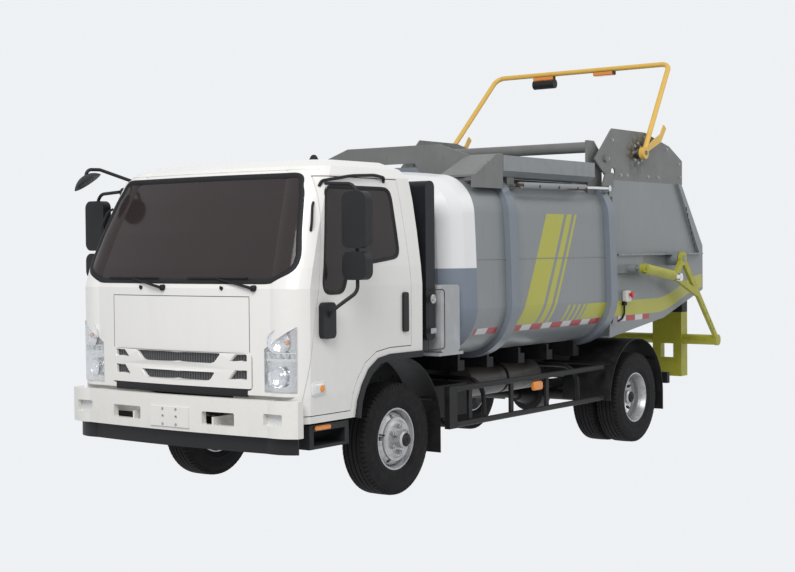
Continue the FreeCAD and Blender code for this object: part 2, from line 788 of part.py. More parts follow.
def build_wheel(label, side, rear):
    """Rim, disc, drum and hub of one corner, made about its own centre."""
    centre = "rear_outer_half" if rear else "front_track_half"
    shapes = []
    offsets = [("0", -1), ("-twin_spacing", 1)] if rear else [("0", 1)]
    for number, (shift, disc_sign) in enumerate(offsets):
        x0 = value_of(bound(shift))
        half, wall, out = c.rim_width / 2, c.rim_wall, c.rim_radius
        section = [Vector(share_x * c.rim_width, 0, share_r * out) for share_x, share_r in RIM_SHARES]
        under = [Vector(share_x * (c.rim_width - 2 * wall), 0, share_r * out - wall)
                 for share_x, share_r in reversed(RIM_SHARES[2:-2])]
        lip = [Vector(half + wall * 0.6, 0, out), Vector(half + wall * 0.6, 0, out * 0.955 - wall)]
        far_lip = [Vector(-point.x, 0, point.z) for point in reversed(lip)]
        rim = spun(section + lip + under + far_lip)
        flat = disc_sign * (c.disc_offset - c.disc_wall / 2)
        edge_x = disc_sign * half * 0.32
        well = 0.865 * out - wall / 2
        disc_line = [(edge_x, well), (edge_x + disc_sign * half * 0.3, well - 8 * c.disc_wall / 14),
                     (flat - disc_sign * half * 0.22, c.disc_flat_radius * 1.16), (flat, c.disc_flat_radius),
                     (flat, c.hub_radius + (c.seat_gap if number == 0 and rear else -wall))]
        step = disc_sign * c.disc_wall
        back = [(x - step, r - (c.disc_wall * 0.6 if r > c.disc_flat_radius else 0)) for x, r in disc_line]
        disc = spun([Vector(x, 0, r) for x, r in disc_line + back[::-1]])
        holes = []
        for turn in range(round(c.hand_hole_count)):
            angle = math.radians(360 * turn / c.hand_hole_count + c.hand_hole_turn)
            at = Vector(-half, c.hand_hole_circle * math.cos(angle), c.hand_hole_circle * math.sin(angle))
            if disc_sign < 0:
                at.x = -c.disc_offset - half
            holes.append(Part.makeCylinder(c.hand_hole_radius, c.rim_width + c.disc_offset, at, Vector(1, 0, 0)))
        disc = disc.cut(Part.makeCompound(holes))
        wheel = rim.fuse(disc)
        wheel.translate(Vector(x0, 0, 0))
        shapes.append(wheel)
    mount_x = -(c.disc_offset - c.disc_wall / 2) if rear else c.disc_offset - c.disc_wall / 2
    hub_end = mount_x + c.hub_reach * (0.9 if rear else 0.36)
    hub_start = mount_x - c.drum_length
    hub = bar(c.hub_radius, Vector(hub_start, 0, 0), Vector(hub_end, 0, 0))
    cap = Part.makeCone(c.hub_radius, c.hub_radius * 0.75, c.hub_radius * 0.25,
                        Vector(hub_end, 0, 0), Vector(1, 0, 0))
    drum_x = mount_x - c.disc_wall - (c.disc_wall if rear else 0)
    drum_radius = c.drum_radius if rear else c.backplate_radius - c.backplate_wall
    drum_start = drum_x - c.drum_length
    if not rear:
        drum_start = (c.kingpin_half + c.axle_eye_radius + c.run_gap + c.fork_wall + c.run_gap) - c.front_track_half
    drum = bar(drum_radius, Vector(drum_start, 0, 0), Vector(drum_x, 0, 0))
    room = bar(drum_radius - c.disc_wall, Vector(drum_start - c.run_gap, 0, 0),
               Vector(drum_x - c.disc_wall, 0, 0))
    drum = drum.cut(room)
    inner = c.rear_axle_half + c.run_gap - c.rear_outer_half if rear else drum_start
    hub_length_start = max(inner, hub_start) if not rear else inner
    hub = bar(c.hub_radius, Vector(hub_length_start, 0, 0), Vector(hub_end, 0, 0))
    joined = union(shapes[1:] + [hub, cap, drum]) if rear else union(shapes + [hub, cap, drum])
    bore_end = (c.rear_outer_half - c.disc_offset + c.hub_reach - c.rear_outer_half if rear else c.disc_offset)
    bore = bar(c.spindle_radius + c.seat_gap / 6, Vector(-c.rear_outer_half, 0, 0),
               Vector(bore_end + c.seat_gap, 0, 0))
    solid = joined.cut(bore)
    if rear:
        solid = Part.makeCompound([shapes[0], solid])
    place_wheel(label, solid, side, centre, rear)


def place_wheel(label, solid, side, centre, rear):
    thing = doc.addObject("Part::Feature", label)
    thing.Shape = solid
    turn = 0 if side > 0 else 180
    thing.Placement = Placement(Vector(), Rotation(Vector(0, 0, 1), turn))
    thing.setExpression("Placement.Base.x", bound(centre if side > 0 else "-" + centre))
    thing.setExpression("Placement.Base.y", bound("wheelbase - mid_station" if rear else "-mid_station"))
    thing.setExpression("Placement.Base.z", bound("tyre_radius"))
    thing.Label = label
    subparts.append(thing)


TYRE_SHARES = ((0.37, 0.0), (0.44, 0.05), (0.49, 0.28), (0.50, 0.48), (0.47, 0.70), (0.41, 0.90), (0.36, 0.975),
               (0.0, 1.0))


def build_tyre(label, side, rear):
    """A closed tyre ring, or the twin rings of a rear corner, seated on the rim."""
    seat = c.rim_radius * 0.9
    height = c.tyre_radius - seat
    half = [(x * c.tyre_width, seat + r * height) for x, r in TYRE_SHARES]
    loop = half + [(-x, r) for x, r in reversed(half[:-1])]
    loop = [Vector(x, 0, r + (c.seat_gap if r < c.rim_radius else 0)) for x, r in loop]
    ring = spun(loop)
    rim_solid = bar(c.rim_radius + c.seat_gap, Vector(-c.rim_width / 2 - c.rim_wall, 0, 0),
                    Vector(-c.rim_width * 0.355, 0, 0))
    lips = rim_solid.fuse(rim_solid.mirror(Vector(), Vector(1, 0, 0)))
    ring = ring.cut(lips)
    rings = [ring]
    if rear:
        second = ring.copy()
        second.translate(Vector(-c.twin_spacing, 0, 0))
        rings.append(second)
    place_wheel(label, Part.makeCompound(rings), side, "rear_outer_half" if rear else "front_track_half", rear)


# Plan outlines that wrap the truck's front
def wrap_outline(half, front, back, run, depth, crown):
    """Front line with a crown, two swept corners and straight sides, closed at the back."""
    side_y = -front + depth
    shoulder_x, shoulder_y = half - run, -front + crown
    corner = Vector(half - run * 0.26, shoulder_y + (depth - crown) * 0.30, 0)
    front_arc = Part.Arc(Vector(-shoulder_x, shoulder_y, 0), Vector(0, -front, 0),
                         Vector(shoulder_x, shoulder_y, 0)).toShape()
    near = Part.Arc(Vector(shoulder_x, shoulder_y, 0), corner, Vector(half, side_y, 0)).toShape()
    far = Part.Arc(Vector(-half, side_y, 0), Vector(-corner.x, corner.y, 0),
                   Vector(-shoulder_x, shoulder_y, 0)).toShape()
    points = [Vector(half, side_y, 0), Vector(half, back, 0), Vector(-half, back, 0), Vector(-half, side_y, 0)]
    sides = [Part.LineSegment(points[i], points[i + 1]).toShape() for i in range(3)]
    return Part.Wire([front_arc, near] + sides + [far])


def wrap_band(half, front, back, run, depth, crown, wall, low, high):
    """A shell that wraps the front, open at the back."""
    outer = wrap_outline(half, front, back, run, depth, crown)
    inner = wrap_outline(half - wall, front - wall, back + c.cut_overrun, run - wall / 3, depth - wall / 3, crown)
    solids = []
    for wire in (outer, inner):
        solid = Part.Face(wire).extrude(Vector(0, 0, high - low))
        solid.translate(Vector(0, 0, low))
        solids.append(solid)
    return solids[0].cut(solids[1])


def build_bumper():
    front = c.front_reach - c.plate_bracket_wall
    shell = wrap_band(c.bumper_half, front, -c.bumper_side_end, c.bumper_corner_run, c.bumper_corner_depth,
                      c.bumper_crown, c.bumper_wall, c.bumper_low, c.bumper_top)
    slots = []
    for sign in (1, -1):
        x0, x1 = sorted((sign * c.bumper_slot_near, sign * (c.bumper_slot_near + c.bumper_slot_width)))
        slots.append(soft_prism([(x0, c.bumper_slot_low), (x1, c.bumper_slot_low),
                                 (x1, c.bumper_slot_low + c.bumper_slot_height),
                                 (x0, c.bumper_slot_low + c.bumper_slot_height)], "y",
                                -front - c.cut_overrun, -c.bumper_side_end, c.bumper_wall / 4))
        lamp = c.bumper_lamp_half
        x0, x1 = sorted((sign * (lamp - c.bumper_lamp_width / 2), sign * (lamp + c.bumper_lamp_width / 2)))
        top = c.bumper_lamp_low + c.bumper_lamp_height
        slots.append(soft_prism([(x0, c.bumper_lamp_low), (x1, c.bumper_lamp_low), (x1, top), (x0, top)], "y",
                                -front - c.cut_overrun, -c.bumper_side_end + c.bumper_wall, c.bumper_wall / 4))
    bumper = shell.cut(Part.makeCompound(slots))
    rail_low = c.rail_top - c.rail_height
    stay_top = rail_low + c.bumper_stay_seat
    stays = [cuboid(x - c.rail_wall, x + c.rail_wall, c.bumper_wall / 2 - front, c.rail_flange - c.frame_front,
                    c.bumper_low, stay_top) for x in (c.rail_wall * 2 - c.rail_outer_half,
                                                      c.rail_outer_half - c.rail_wall * 2)]
    plate_top = c.plate_bracket_low + c.plate_bracket_height
    plate = cuboid(-c.plate_bracket_half, c.plate_bracket_half, -c.front_reach, c.bumper_wall / 2 - front,
                   c.plate_bracket_low, plate_top)
    hole_z = c.plate_bracket_low + c.plate_bracket_height / 2
    holes = [bar(c.plate_hole_radius, Vector(x, -front - c.cut_overrun, hole_z),
                 Vector(x, c.cut_overrun - front, hole_z)) for x in (-c.plate_hole_half, c.plate_hole_half)]
    rails = rail_room(c.seat_gap)
    feature("bumper", union([bumper, plate] + stays).cut(Part.makeCompound(holes)).cut(rails))


def rail_room(grow):
    """The space that the frame rails fill, drawn out a little."""
    low = c.rail_top - c.rail_height - grow
    rooms = [cuboid(c.rail_outer_half - c.rail_flange - grow, c.rail_outer_half + grow, -c.frame_front,
                    c.wheelbase + c.rear_overhang, low, c.rail_top + grow)]
    return rooms[0].fuse(mirrored(rooms[0]))


def build_valance():
    """Black lower apron under the bumper, held by the bumper's stays."""
    shell = wrap_band(c.valance_half, c.front_reach - c.plate_bracket_wall - c.valance_inset, -c.bumper_side_end,
                      c.bumper_corner_run, c.bumper_corner_depth, c.bumper_crown, c.bumper_wall / 2,
                      c.valance_low, c.bumper_low)
    feature("valance", shell)


def build_fog_lamps():
    lamps = []
    for sign in (1, -1):
        x = sign * c.bumper_lamp_half
        half = c.bumper_lamp_width / 2
        z0, z1 = c.bumper_lamp_low, c.bumper_lamp_low + c.bumper_lamp_height
        y0 = -c.front_reach + c.bumper_corner_depth
        lamps.append(cuboid(x - half, x + half, y0, y0 + c.fog_lamp_depth, z0, z1))
    feature("fog_lamps", Part.makeCompound(lamps).cut(doc.getObject("bumper").Shape))


# Cab shell: stacked plan sections that lean back with the windscreen
def cab_sections(inset):
    """Plan sections from the sill to the roof, all drawn in by the same amount."""
    rake = c.windscreen_rake
    rows = [
        (c.cab_side_low - c.cab_wall, 0.012, 0.012, 0, 1.0),
        (c.cab_front_low, 0.004, 0.004, 0, 1.0),
        (c.cab_belt, 0.0, 0.0, 0, 1.0),
        (c.cab_belt + (c.cab_eave - c.cab_belt) * 0.18, 0.008, 0.13, 0.05, 1.0),
        (c.cab_belt + (c.cab_eave - c.cab_belt) * 0.50, 0.036, 0.43, 0.10, 1.02),
        (c.cab_belt + (c.cab_eave - c.cab_belt) * 0.80, 0.067, 0.76, 0.17, 1.05),
        (c.cab_eave, 0.092, 1.0, 0.32, 1.1),
        (c.cab_eave + (c.cab_roof - c.cab_eave) * 0.55, 0.135, 1.24, 0.8, 1.1),
        (c.cab_roof, 0.235, 1.72, 1.9, 1.1),
    ]
    sections = []
    for z, side_share, rake_share, rear_share, corner_share in rows:
        half = c.cab_half * (1 - side_share) - inset
        front = c.cab_front - rake * rake_share - inset
        back = c.cab_rear - c.roof_rear_run * rear_share - inset
        height = min(z, c.cab_roof - inset)
        wire = wrap_outline(half, front, back, c.cab_corner_run * corner_share - inset / 2,
                            c.cab_corner_depth * corner_share - inset / 3, c.cab_crown)
        wire.translate(Vector(0, 0, height))
        sections.append((height, wire))
    return sections


def cab_block(inset):
    sections = cab_sections(inset)
    wires = [wire for height, wire in sections]
    if inset:
        wires = wires[:-1]
        top = sections[-2][1].copy()
        top.translate(Vector(0, 0, c.cab_roof - inset - sections[-2][0]))
        wires.append(top)
    return Part.makeLoft(wires, True, True)


def underside_outline(rise):
    """Side view of what lies under the cab: bumper room, sill and wheel arch."""
    front, low = -c.front_reach - c.cut_overrun, c.cab_side_low + rise
    sill_front = -c.bumper_side_end + c.run_gap
    high = c.cab_floor_high + rise
    rise_height = high - low
    run = c.arch_rise_run
    start = -c.arch_start - rise
    back = c.cab_rear + c.cut_overrun
    curve = [(start + run * share_y, low + rise_height * share_z)
             for share_y, share_z in ((0, 0), (0.05, 0.28), (0.16, 0.52), (0.36, 0.78), (0.65, 0.95), (1.0, 1.0))]
    return [(front, 0), (front, c.cab_front_low + rise), (sill_front + rise, c.cab_front_low + rise),
            (sill_front + rise, low)] + curve + [(back, high), (back, 0)]


def door_outline(gap):
    """Side view of a door; a gap draws the opening that much wider."""
    low = c.door_low
    rise_height = c.door_sill_high - low
    run = c.arch_rise_run + c.door_sill_run
    start = -c.arch_start - c.door_sill_run
    curve = [(start + run * share_y, low + rise_height * share_z - gap)
             for share_y, share_z in ((0.05, 0.28), (0.16, 0.52), (0.36, 0.78), (0.65, 0.95), (1.0, 1.0))]
    curve = [(y + gap * 0.5 * (1 - number / 5), z) for number, (y, z) in enumerate(curve)]
    return ([(-c.door_front_low - gap, low - gap), (start + gap * 0.5, low - gap)] + curve
            + [(c.door_rear + gap, c.door_sill_high - gap), (c.door_rear + gap, c.screen_low),
               (c.door_rear_high + gap, c.door_top + gap),
               (-c.door_front_high - gap * 1.2, c.door_top + gap)])


def window_outline(inset):
    """Side window with its stepped sill and raked front edge."""
    frame = c.window_frame + inset
    slope = (c.door_front_low - c.door_front_high) / (c.door_top - c.door_low)
    front_low = -c.door_front_low + slope * (c.window_sill_front - c.door_low) + frame * 0.55
    front_high = -c.door_front_high + frame * 0.55
    rear = c.door_rear - frame - c.door_sill_run
    return [(front_low, c.window_sill_front + inset), (-c.window_step, c.window_sill_front + inset),
            (-c.window_step + c.window_frame, c.window_sill_rear - c.window_frame),
            (rear, c.window_sill_rear + inset), (rear - c.window_frame / 3, c.door_top - frame),
            (front_high, c.door_top - frame)]


def screen_outline(grow):
    half, wide, high, low = c.screen_half + grow, c.screen_wide_height, c.screen_high + grow, c.screen_low - grow
    right = [(c.screen_low_half + grow / 2, low), (half, wide - c.window_frame / 2), (half, wide + c.window_frame),
             (c.screen_top_half + grow, high)]
    return right + [(-x, z) for x, z in reversed(right)]


def tunnel_block(grow):
    """The raised middle of the cab floor, over the frame rails and the engine."""
    return cuboid(-c.tunnel_half - grow, c.tunnel_half + grow, c.run_gap - c.bumper_side_end - grow,
                  c.cab_rear + c.cut_overrun, 0, c.tunnel_high + grow)


def build_cab():
    outer, inner = cab_block(0), cab_block(c.cab_wall)
    under = prism(underside_outline(0), "x", -c.cab_half - c.cut_overrun, c.cab_half + c.cut_overrun)
    room_floor = prism(underside_outline(c.cab_wall), "x", -c.cab_half - c.cut_overrun,
                       c.cab_half + c.cut_overrun)
    room = inner.cut(room_floor).cut(tunnel_block(c.cab_wall))
    shell = outer.cut(under).cut(tunnel_block(0))
    walls = shell.cut(room)
    reach = c.cab_half + c.cut_overrun
    door_x = c.cab_half * 0.78
    screen_cut = soft_prism(screen_outline(0), "y", -c.front_reach, -c.window_step + c.window_frame,
                            c.window_frame)
    rear_points = [(-c.rear_glass_half, c.rear_glass_low), (c.rear_glass_half, c.rear_glass_low),
                   (c.rear_glass_half, c.rear_glass_high), (-c.rear_glass_half, c.rear_glass_high)]
    rear_cut = soft_prism(rear_points, "y", -c.door_rear, c.cab_rear + c.cut_overrun, c.window_frame)
    pillars = both_sides(prism(door_outline(c.window_frame * 0.6), "x", c.screen_top_half, reach))
    inner_half = c.cab_half - c.cab_wall - c.run_gap
    floor_edge = prism(underside_outline(c.cab_wall), "x", -inner_half, inner_half)
    floor_clear = prism(underside_outline(c.cab_wall + c.door_gap), "x", -inner_half - c.door_gap,
                        inner_half + c.door_gap)
    tools = [screen_cut.cut(pillars), rear_cut]
    for sign in (1, -1):
        start, end = sorted((sign * door_x, sign * reach))
        tools.append(prism(door_outline(c.door_gap), "x", start, end).cut(floor_edge))
        tools.append(headlamp_pocket(sign, 0))
    grille_points = [(-c.grille_half, c.grille_low), (c.grille_half, c.grille_low),
                     (c.grille_half, c.grille_high), (-c.grille_half, c.grille_high)]
    tools.append(soft_prism(grille_points, "y", -c.front_reach, -c.cab_front + c.cab_crown * 1.6,
                            c.grille_bar_height))
    tools.append(bar(c.cab_pin_radius + c.seat_gap / 6, Vector(-reach, -c.cab_pin_station, c.cab_pin_height),
                     Vector(reach, -c.cab_pin_station, c.cab_pin_height)).common(
                         tunnel_block(c.cab_wall * 1.5)))
    feature("cab_shell", walls.cut(Part.makeCompound(tools)))

    glass_out, glass_in = cab_block(c.glass_inset), cab_block(c.glass_inset + c.glass_wall)
    sheet_band = glass_out.cut(glass_in)
    feature("cab_glass", Part.makeCompound([sheet_band.common(screen_cut).cut(pillars),
                                           sheet_band.common(rear_cut)]))

    for label, sign in (("left", 1), ("right", -1)):
        start, end = sorted((sign * door_x, sign * reach))
        slab = prism(door_outline(0), "x", start, end)
        panel = shell.cut(room).common(slab).cut(floor_clear)
        window = soft_prism(window_outline(0), "x", start, end, c.window_frame * 0.8)
        feature("door_" + label, panel.cut(window))
        feature("door_glass_" + label, sheet_band.common(window))


def headlamp_pocket(sign, inset):
    """The lamp's raked outline pushed back into the cab's corner."""
    inner, outer = c.headlamp_inner + inset, c.cab_half + c.cut_overrun
    top, low = c.headlamp_high - inset, c.headlamp_low + inset
    points = [(inner, low), (outer, low), (outer, top + (outer - inner) * 0.35), (inner, top - c.headlamp_step)]
    points = [(sign * x, z) for x, z in points]
    back = -c.door_front_low - c.door_gap * 2
    return prism(points, "y", -c.front_reach - c.cut_overrun, back - inset)


def front_mirror():
    """Round front-down mirror on a tube frame at the right end of the roof."""
    radius = c.front_mirror_radius
    centre = Vector(-c.cab_half + radius * 0.36, -c.cab_front + radius * 1.2, c.cab_eave)
    back = Vector(-0.45, -0.32, 0.83).normalize()
    dome = Part.makeSphere(radius * 1.25, centre - back * radius * 0.75)
    dome = dome.common(bar(radius, centre, centre + back * radius))
    root_y = -c.cab_front + c.windscreen_rake
    top = c.cab_eave + radius * 0.85
    path = [centre + back * radius * 0.3, Vector(centre.x, centre.y, top),
            Vector(-c.cab_half * 0.93, root_y - c.cab_corner_depth * 0.6, top),
            Vector(-c.cab_half * 0.80, root_y + c.cab_wall * 2.5, c.cab_eave + c.cab_wall * 0.2)]
    arm = bent_tube(c.mirror_tube, path, c.mirror_depth * 0.5)
    return union([dome, arm]).cut(cab_block(0))


def arch_line(grow):
    """The line of the wheel arch in the cab's side, drawn out from the wheel by the given length."""
    line = []
    for y, z in underside_outline(0)[4:10] + [(c.cab_rear, c.cab_floor_high)]:
        reach = math.hypot(y, z - c.guard_rise)
        line.append((y * (1 + grow / reach), c.guard_rise + (z - c.guard_rise) * (1 + grow / reach)))
    return line


def build_cab_front():
    """Headlamps, grille with its bars, wipers and the flares over the wheels."""
    skin = cab_block(-c.headlamp_proud).cut(cab_block(c.cab_wall))
    lamps = []
    for sign in (1, -1):
        lamps.append(skin.common(headlamp_pocket(sign, c.seat_gap)))
    feature("headlamps", Part.makeCompound(lamps))

    back = -c.cab_front + c.cab_crown * 1.6
    plate = cuboid(-c.grille_half, c.grille_half, back - c.glass_wall, back, c.grille_low, c.grille_high)
    front_line = cab_block(-c.headlamp_proud)
    bars = [plate]
    space = (c.grille_high - c.grille_low) / 3
    for number in range(3):
        z = c.grille_low + space * number + space * 0.35
        narrow = c.grille_half - (2 - number) * c.grille_bar_height * 0.8
        points = [(-narrow, z), (narrow, z), (c.grille_half - c.seat_gap, z + c.grille_bar_height * 1.2),
                  (-c.grille_half + c.seat_gap, z + c.grille_bar_height * 1.2)]
        bars.append(prism(points, "y", -c.front_reach, back).common(front_line))
    feature("grille", union(bars).cut(doc.getObject("cab_shell").Shape))

    flares = []
    for sign in (1, -1):
        start, end = sorted((sign * (c.cab_half - c.flare_wall), sign * (c.cab_half + c.flare_wall / 3)))
        edge = arch_line(-c.seat_gap)
        flares.append(prism(edge + arch_line(-c.flare_height)[::-1], "x", start, end))

    wipers = []
    for x0, x1 in ((0.05, 0.62), (-0.66, -0.09)):
        foot = Vector(x0 * c.screen_half, -c.cab_front - c.wiper_radius, c.screen_low - c.window_frame * 0.9)
        tip = Vector(x1 * c.screen_half, -c.cab_front + c.wiper_radius, c.screen_low + c.window_frame * 0.15)
        pivot = bar(c.wiper_radius * 1.6, foot + Vector(0, c.cab_crown * 1.3, 0), foot - Vector(0, c.wiper_radius, 0))
        wipers.append(union([bar(c.wiper_radius * 0.8, foot, tip), pivot]))
    wipers = Part.makeCompound(wipers).cut(cab_block(0))
    feature("cab_trim", Part.makeCompound(flares + [wipers, front_mirror(), cab_steps()]))


def build_cab_inside():
    """Dashboard, steering wheel and seats seen through the glass."""
    half = c.cab_half - c.cab_wall * 2.6
    floor_low = c.cab_side_low + c.cab_wall
    front = -c.cab_front + c.cab_crown + c.cab_wall * 2
    points = [(front + c.cab_wall, floor_low), (front + c.dash_depth * 0.55, floor_low),
              (front + c.dash_depth * 0.6, c.dash_low), (front + c.dash_depth, c.dash_low + c.cab_wall),
              (front + c.dash_depth * 0.9, c.dash_high), (front + c.cab_wall * 1.8, c.dash_high),
              (front + c.cab_wall, c.dash_low)]
    dash = prism(points, "x", -half + c.cab_corner_run * 0.52, half - c.cab_corner_run * 0.52)
    dash = dash.common(cab_block(c.cab_wall + c.seat_gap)).cut(tunnel_block(c.cab_wall + c.seat_gap))
    lean = Vector(0, 0.55, 1).normalize()
    hub = Vector(c.steering_side, -c.steering_station, c.steering_height)
    ring = Part.makeTorus(c.steering_radius, c.steering_tube, hub, lean)
    column = bar(c.column_radius, hub, Vector(c.steering_side, front + c.dash_depth * 0.8,
                                              c.dash_low + c.cab_wall * 2))
    spokes = [bar(c.steering_tube, hub, hub + Vector(sign * c.steering_radius, 0, 0)) for sign in (1, -1)]
    seats = [dash.fuse(union([ring, column] + spokes))]
    base = c.cab_floor_high + c.cab_wall + c.seat_gap
    back = c.cab_rear - c.cab_wall - c.seat_gap - c.seat_back_wall * 1.3
    for x, width in ((c.seat_half, c.seat_width), (-c.seat_half * 0.62, c.seat_width * 1.7)):
        cushion = cuboid(x - width / 2, x + width / 2, back - c.seat_depth, back, base,
                         c.seat_base_high)
        lean_back = [(back - c.seat_back_wall / 2, c.seat_base_high - c.seat_back_wall / 2),
                     (back + c.seat_back_wall / 2, c.seat_base_high - c.seat_back_wall / 2),
                     (back + c.seat_back_wall * 1.2, c.seat_base_high + c.seat_back_height),
                     (back + c.seat_back_wall * 0.3, c.seat_base_high + c.seat_back_height)]
        seats.append(union([cushion, prism(lean_back, "x", x - width / 2, x + width / 2)]))
    feature("cab_inside", Part.makeCompound(seats))


def build_mirrors():
    """Tall mirror, wide mirror, tube and door foot on each side; handle in the same node."""
    for label, sign in (("left", 1), ("right", -1)):
        x = c.mirror_reach - c.mirror_width / 2
        y = -c.mirror_station
        tall = soft_prism([(x - c.mirror_width / 2, c.mirror_low), (x + c.mirror_width / 2, c.mirror_low),
                           (x + c.mirror_width / 2, c.mirror_low + c.mirror_height),
                           (x - c.mirror_width / 2, c.mirror_low + c.mirror_height)], "y",
                          y - c.mirror_depth / 2, y + c.mirror_depth / 2, c.mirror_width * 0.28)
        wide_top = c.small_mirror_low + c.small_mirror_height
        wide = soft_prism([(x - c.mirror_width / 2, c.small_mirror_low), (x + c.mirror_width / 2, c.small_mirror_low),
                           (x + c.mirror_width / 2, wide_top), (x - c.mirror_width / 2, wide_top)], "y",
                          y - c.mirror_depth / 2, y + c.mirror_depth / 2, c.mirror_width * 0.28)
        slope = (c.door_front_low - c.door_front_high) / (c.door_top - c.door_low)
        foot_mid = (c.mirror_base_low + c.mirror_base_high) / 2
        foot_y = -c.door_front_low + slope * (foot_mid - c.door_low) + c.mirror_base_width / 2 + c.window_frame / 2
        foot_x = c.cab_half
        foot = soft_prism([(foot_y - c.mirror_base_width / 2, c.mirror_base_low),
                           (foot_y + c.mirror_base_width / 2, c.mirror_base_low),
                           (foot_y + c.mirror_base_width / 2, c.mirror_base_high),
                           (foot_y - c.mirror_base_width / 2, c.mirror_base_high)], "x",
                          foot_x - c.cab_wall / 2, foot_x + c.mirror_depth / 2, c.mirror_base_width / 4)
        top_z = c.mirror_low + c.mirror_height + c.mirror_width / 4
        top_y = -c.door_front_high + c.window_frame / 3
        pole_x = x
        path = [Vector(foot_x + c.mirror_tube, foot_y, foot_mid),
                Vector(foot_x + c.mirror_depth, foot_y, foot_mid + c.mirror_depth),
                Vector(pole_x, y, c.small_mirror_low - c.mirror_depth),
                Vector(pole_x, y, top_z), Vector(c.cab_half * 0.93, top_y, top_z + c.mirror_tube)]
        tube = bent_tube(c.mirror_tube, path, c.mirror_depth)
        shapes = [tall, wide, foot, tube]
        handle_x = c.cab_half
        handle_y = c.door_rear - c.door_handle_width * 1.3
        handle = soft_prism([(handle_y - c.door_handle_width / 2, c.door_handle_low),
                             (handle_y + c.door_handle_width / 2, c.door_handle_low),
                             (handle_y + c.door_handle_width / 2, c.door_handle_low + c.door_handle_height),
                             (handle_y - c.door_handle_width / 2, c.door_handle_low + c.door_handle_height)],
                            "x", handle_x - c.cab_wall / 2, handle_x + c.door_handle_proud,
                            c.door_handle_width * 0.3)
        solid = union(shapes).cut(cab_block(0))
        solid = Part.makeCompound([solid, handle.cut(cab_block(0))])
        feature("mirror_" + label, solid if sign > 0 else mirrored(solid))


# Steps, mudguards, side guards and the boxes between the axles
def cab_steps():
    """Entry steps hung under the cab floor, so that they tilt with it."""
    steps = cuboid(c.step_inner, c.step_outer, -c.step_front, -c.step_rear, c.step_low, c.step_high)
    well = cuboid(c.step_inner + c.cab_wall, c.step_outer + c.cut_overrun, -c.step_front + c.cab_wall,
                  -c.step_rear - c.cab_wall, c.step_low + c.cab_wall / 2, c.step_high - c.cab_wall)
    hangers = [cuboid(c.step_inner, c.step_outer - c.cab_wall, y, y + c.cab_wall, c.step_high,
                      c.cab_side_low - c.seat_gap) for y in (-c.step_front, -c.step_rear - c.cab_wall)]
    return both_sides(union([steps.cut(well)] + hangers))


def arch_band(radius, rise, station, wall, inner, outer, from_turn, to_turn):
    """A curved guard over a wheel between two turns measured from the rear."""
    points = []
    for size in (radius, radius - wall):
        arc = []
        for turn in (from_turn, (from_turn + to_turn) / 2, to_turn):
            angle = math.radians(turn)
            arc.append(Vector(inner, station + size * math.cos(angle), rise + size * math.sin(angle)))
        points.append(arc)
    edges = [Part.Arc(*points[0]).toShape(), Part.LineSegment(points[0][2], points[1][2]).toShape(),
             Part.Arc(*points[1]).toShape(), Part.LineSegment(points[1][0], points[0][0]).toShape()]
    return Part.Face(Part.Wire(Part.sortEdges(edges)[0])).extrude(Vector(outer - inner, 0, 0))


def build_mudguards():
    front = arch_band(c.guard_radius, c.guard_rise, -c.flare_wall, c.guard_wall, c.guard_inner, c.guard_outer, 0, 140)
    flap_y = c.guard_radius - c.flare_wall
    flap = cuboid(c.guard_inner, c.guard_outer, flap_y - c.guard_wall, flap_y, c.flap_low, c.guard_rise)
    stay_y = flap_y + c.cross_tube_radius / 2
    stay = bar(c.cross_tube_radius / 2, Vector(c.rail_outer_half, stay_y, c.guard_rise + c.rail_height),
               Vector(c.guard_outer - c.cab_wall, stay_y - c.cross_tube_radius * 1.4, c.guard_rise + c.rail_height))
    rails = rail_room(c.seat_gap)
    front_pair = both_sides(union([front, flap, stay])).cut(rails)

    rear = arch_band(c.rear_guard_radius, c.rear_guard_rise, c.wheelbase, c.guard_wall, c.rear_guard_inner,
                     c.rear_guard_outer, 0, 180)
    flap_y = c.wheelbase + c.rear_guard_radius
    flap = cuboid(c.rear_guard_inner, c.rear_guard_outer, flap_y - c.guard_wall, flap_y, c.flap_low,
                  c.rear_guard_rise)
    height = c.rear_guard_rise + c.rear_guard_radius * 0.6
    ends = []
    for sign in (1, -1):
        y = c.wheelbase + sign * c.rear_guard_radius * 0.8
        ends.append(bar(c.cross_tube_radius / 2, Vector(c.rail_outer_half, y, height),
                        Vector(c.rear_guard_outer - c.cab_wall, y, height)))
    feature("mudguards", Part.makeCompound([front_pair, both_sides(union([rear, flap] + ends)).cut(rails)]))


def build_side_guards():
    """Two tubes a side on curved hangers, with an upright panel at the front."""
    x, front, back = c.side_guard_half, c.side_guard_front, c.wheelbase - c.side_guard_stop
    shapes = []
    for z in (c.side_guard_low, c.side_guard_high):
        shapes.append(bar(c.side_guard_tube, Vector(x, front, z), Vector(x, back, z)))
    for share in (0.20, 0.84):
        y = front + (back - front) * share
        path = [Vector(c.rail_outer_half, y, c.rail_top - c.rail_height / 3),
                Vector(x - c.side_guard_tube * 2, y, c.rail_top - c.rail_height / 3),
                Vector(x - c.side_guard_tube * 1.6, y, c.side_guard_low - c.side_guard_tube)]
        shapes.append(bent_tube(c.side_guard_tube * 0.8, path, c.rail_height))
    for share in (0.1, 0.36, 0.6):
        y = front + (back - front) * share
        shapes.append(cuboid(x - c.side_guard_tube * 1.4, x - c.side_guard_tube / 2, y - c.side_guard_tube,
                             y + c.side_guard_tube, c.side_guard_low, c.side_guard_high))
    shapes.append(cuboid(x - c.side_guard_tube, x + c.side_guard_tube, front - c.side_panel_width, front,
                         c.side_guard_low - c.side_guard_tube, c.side_guard_high + c.side_guard_tube))
    feature("side_guards", both_sides(union(shapes)))


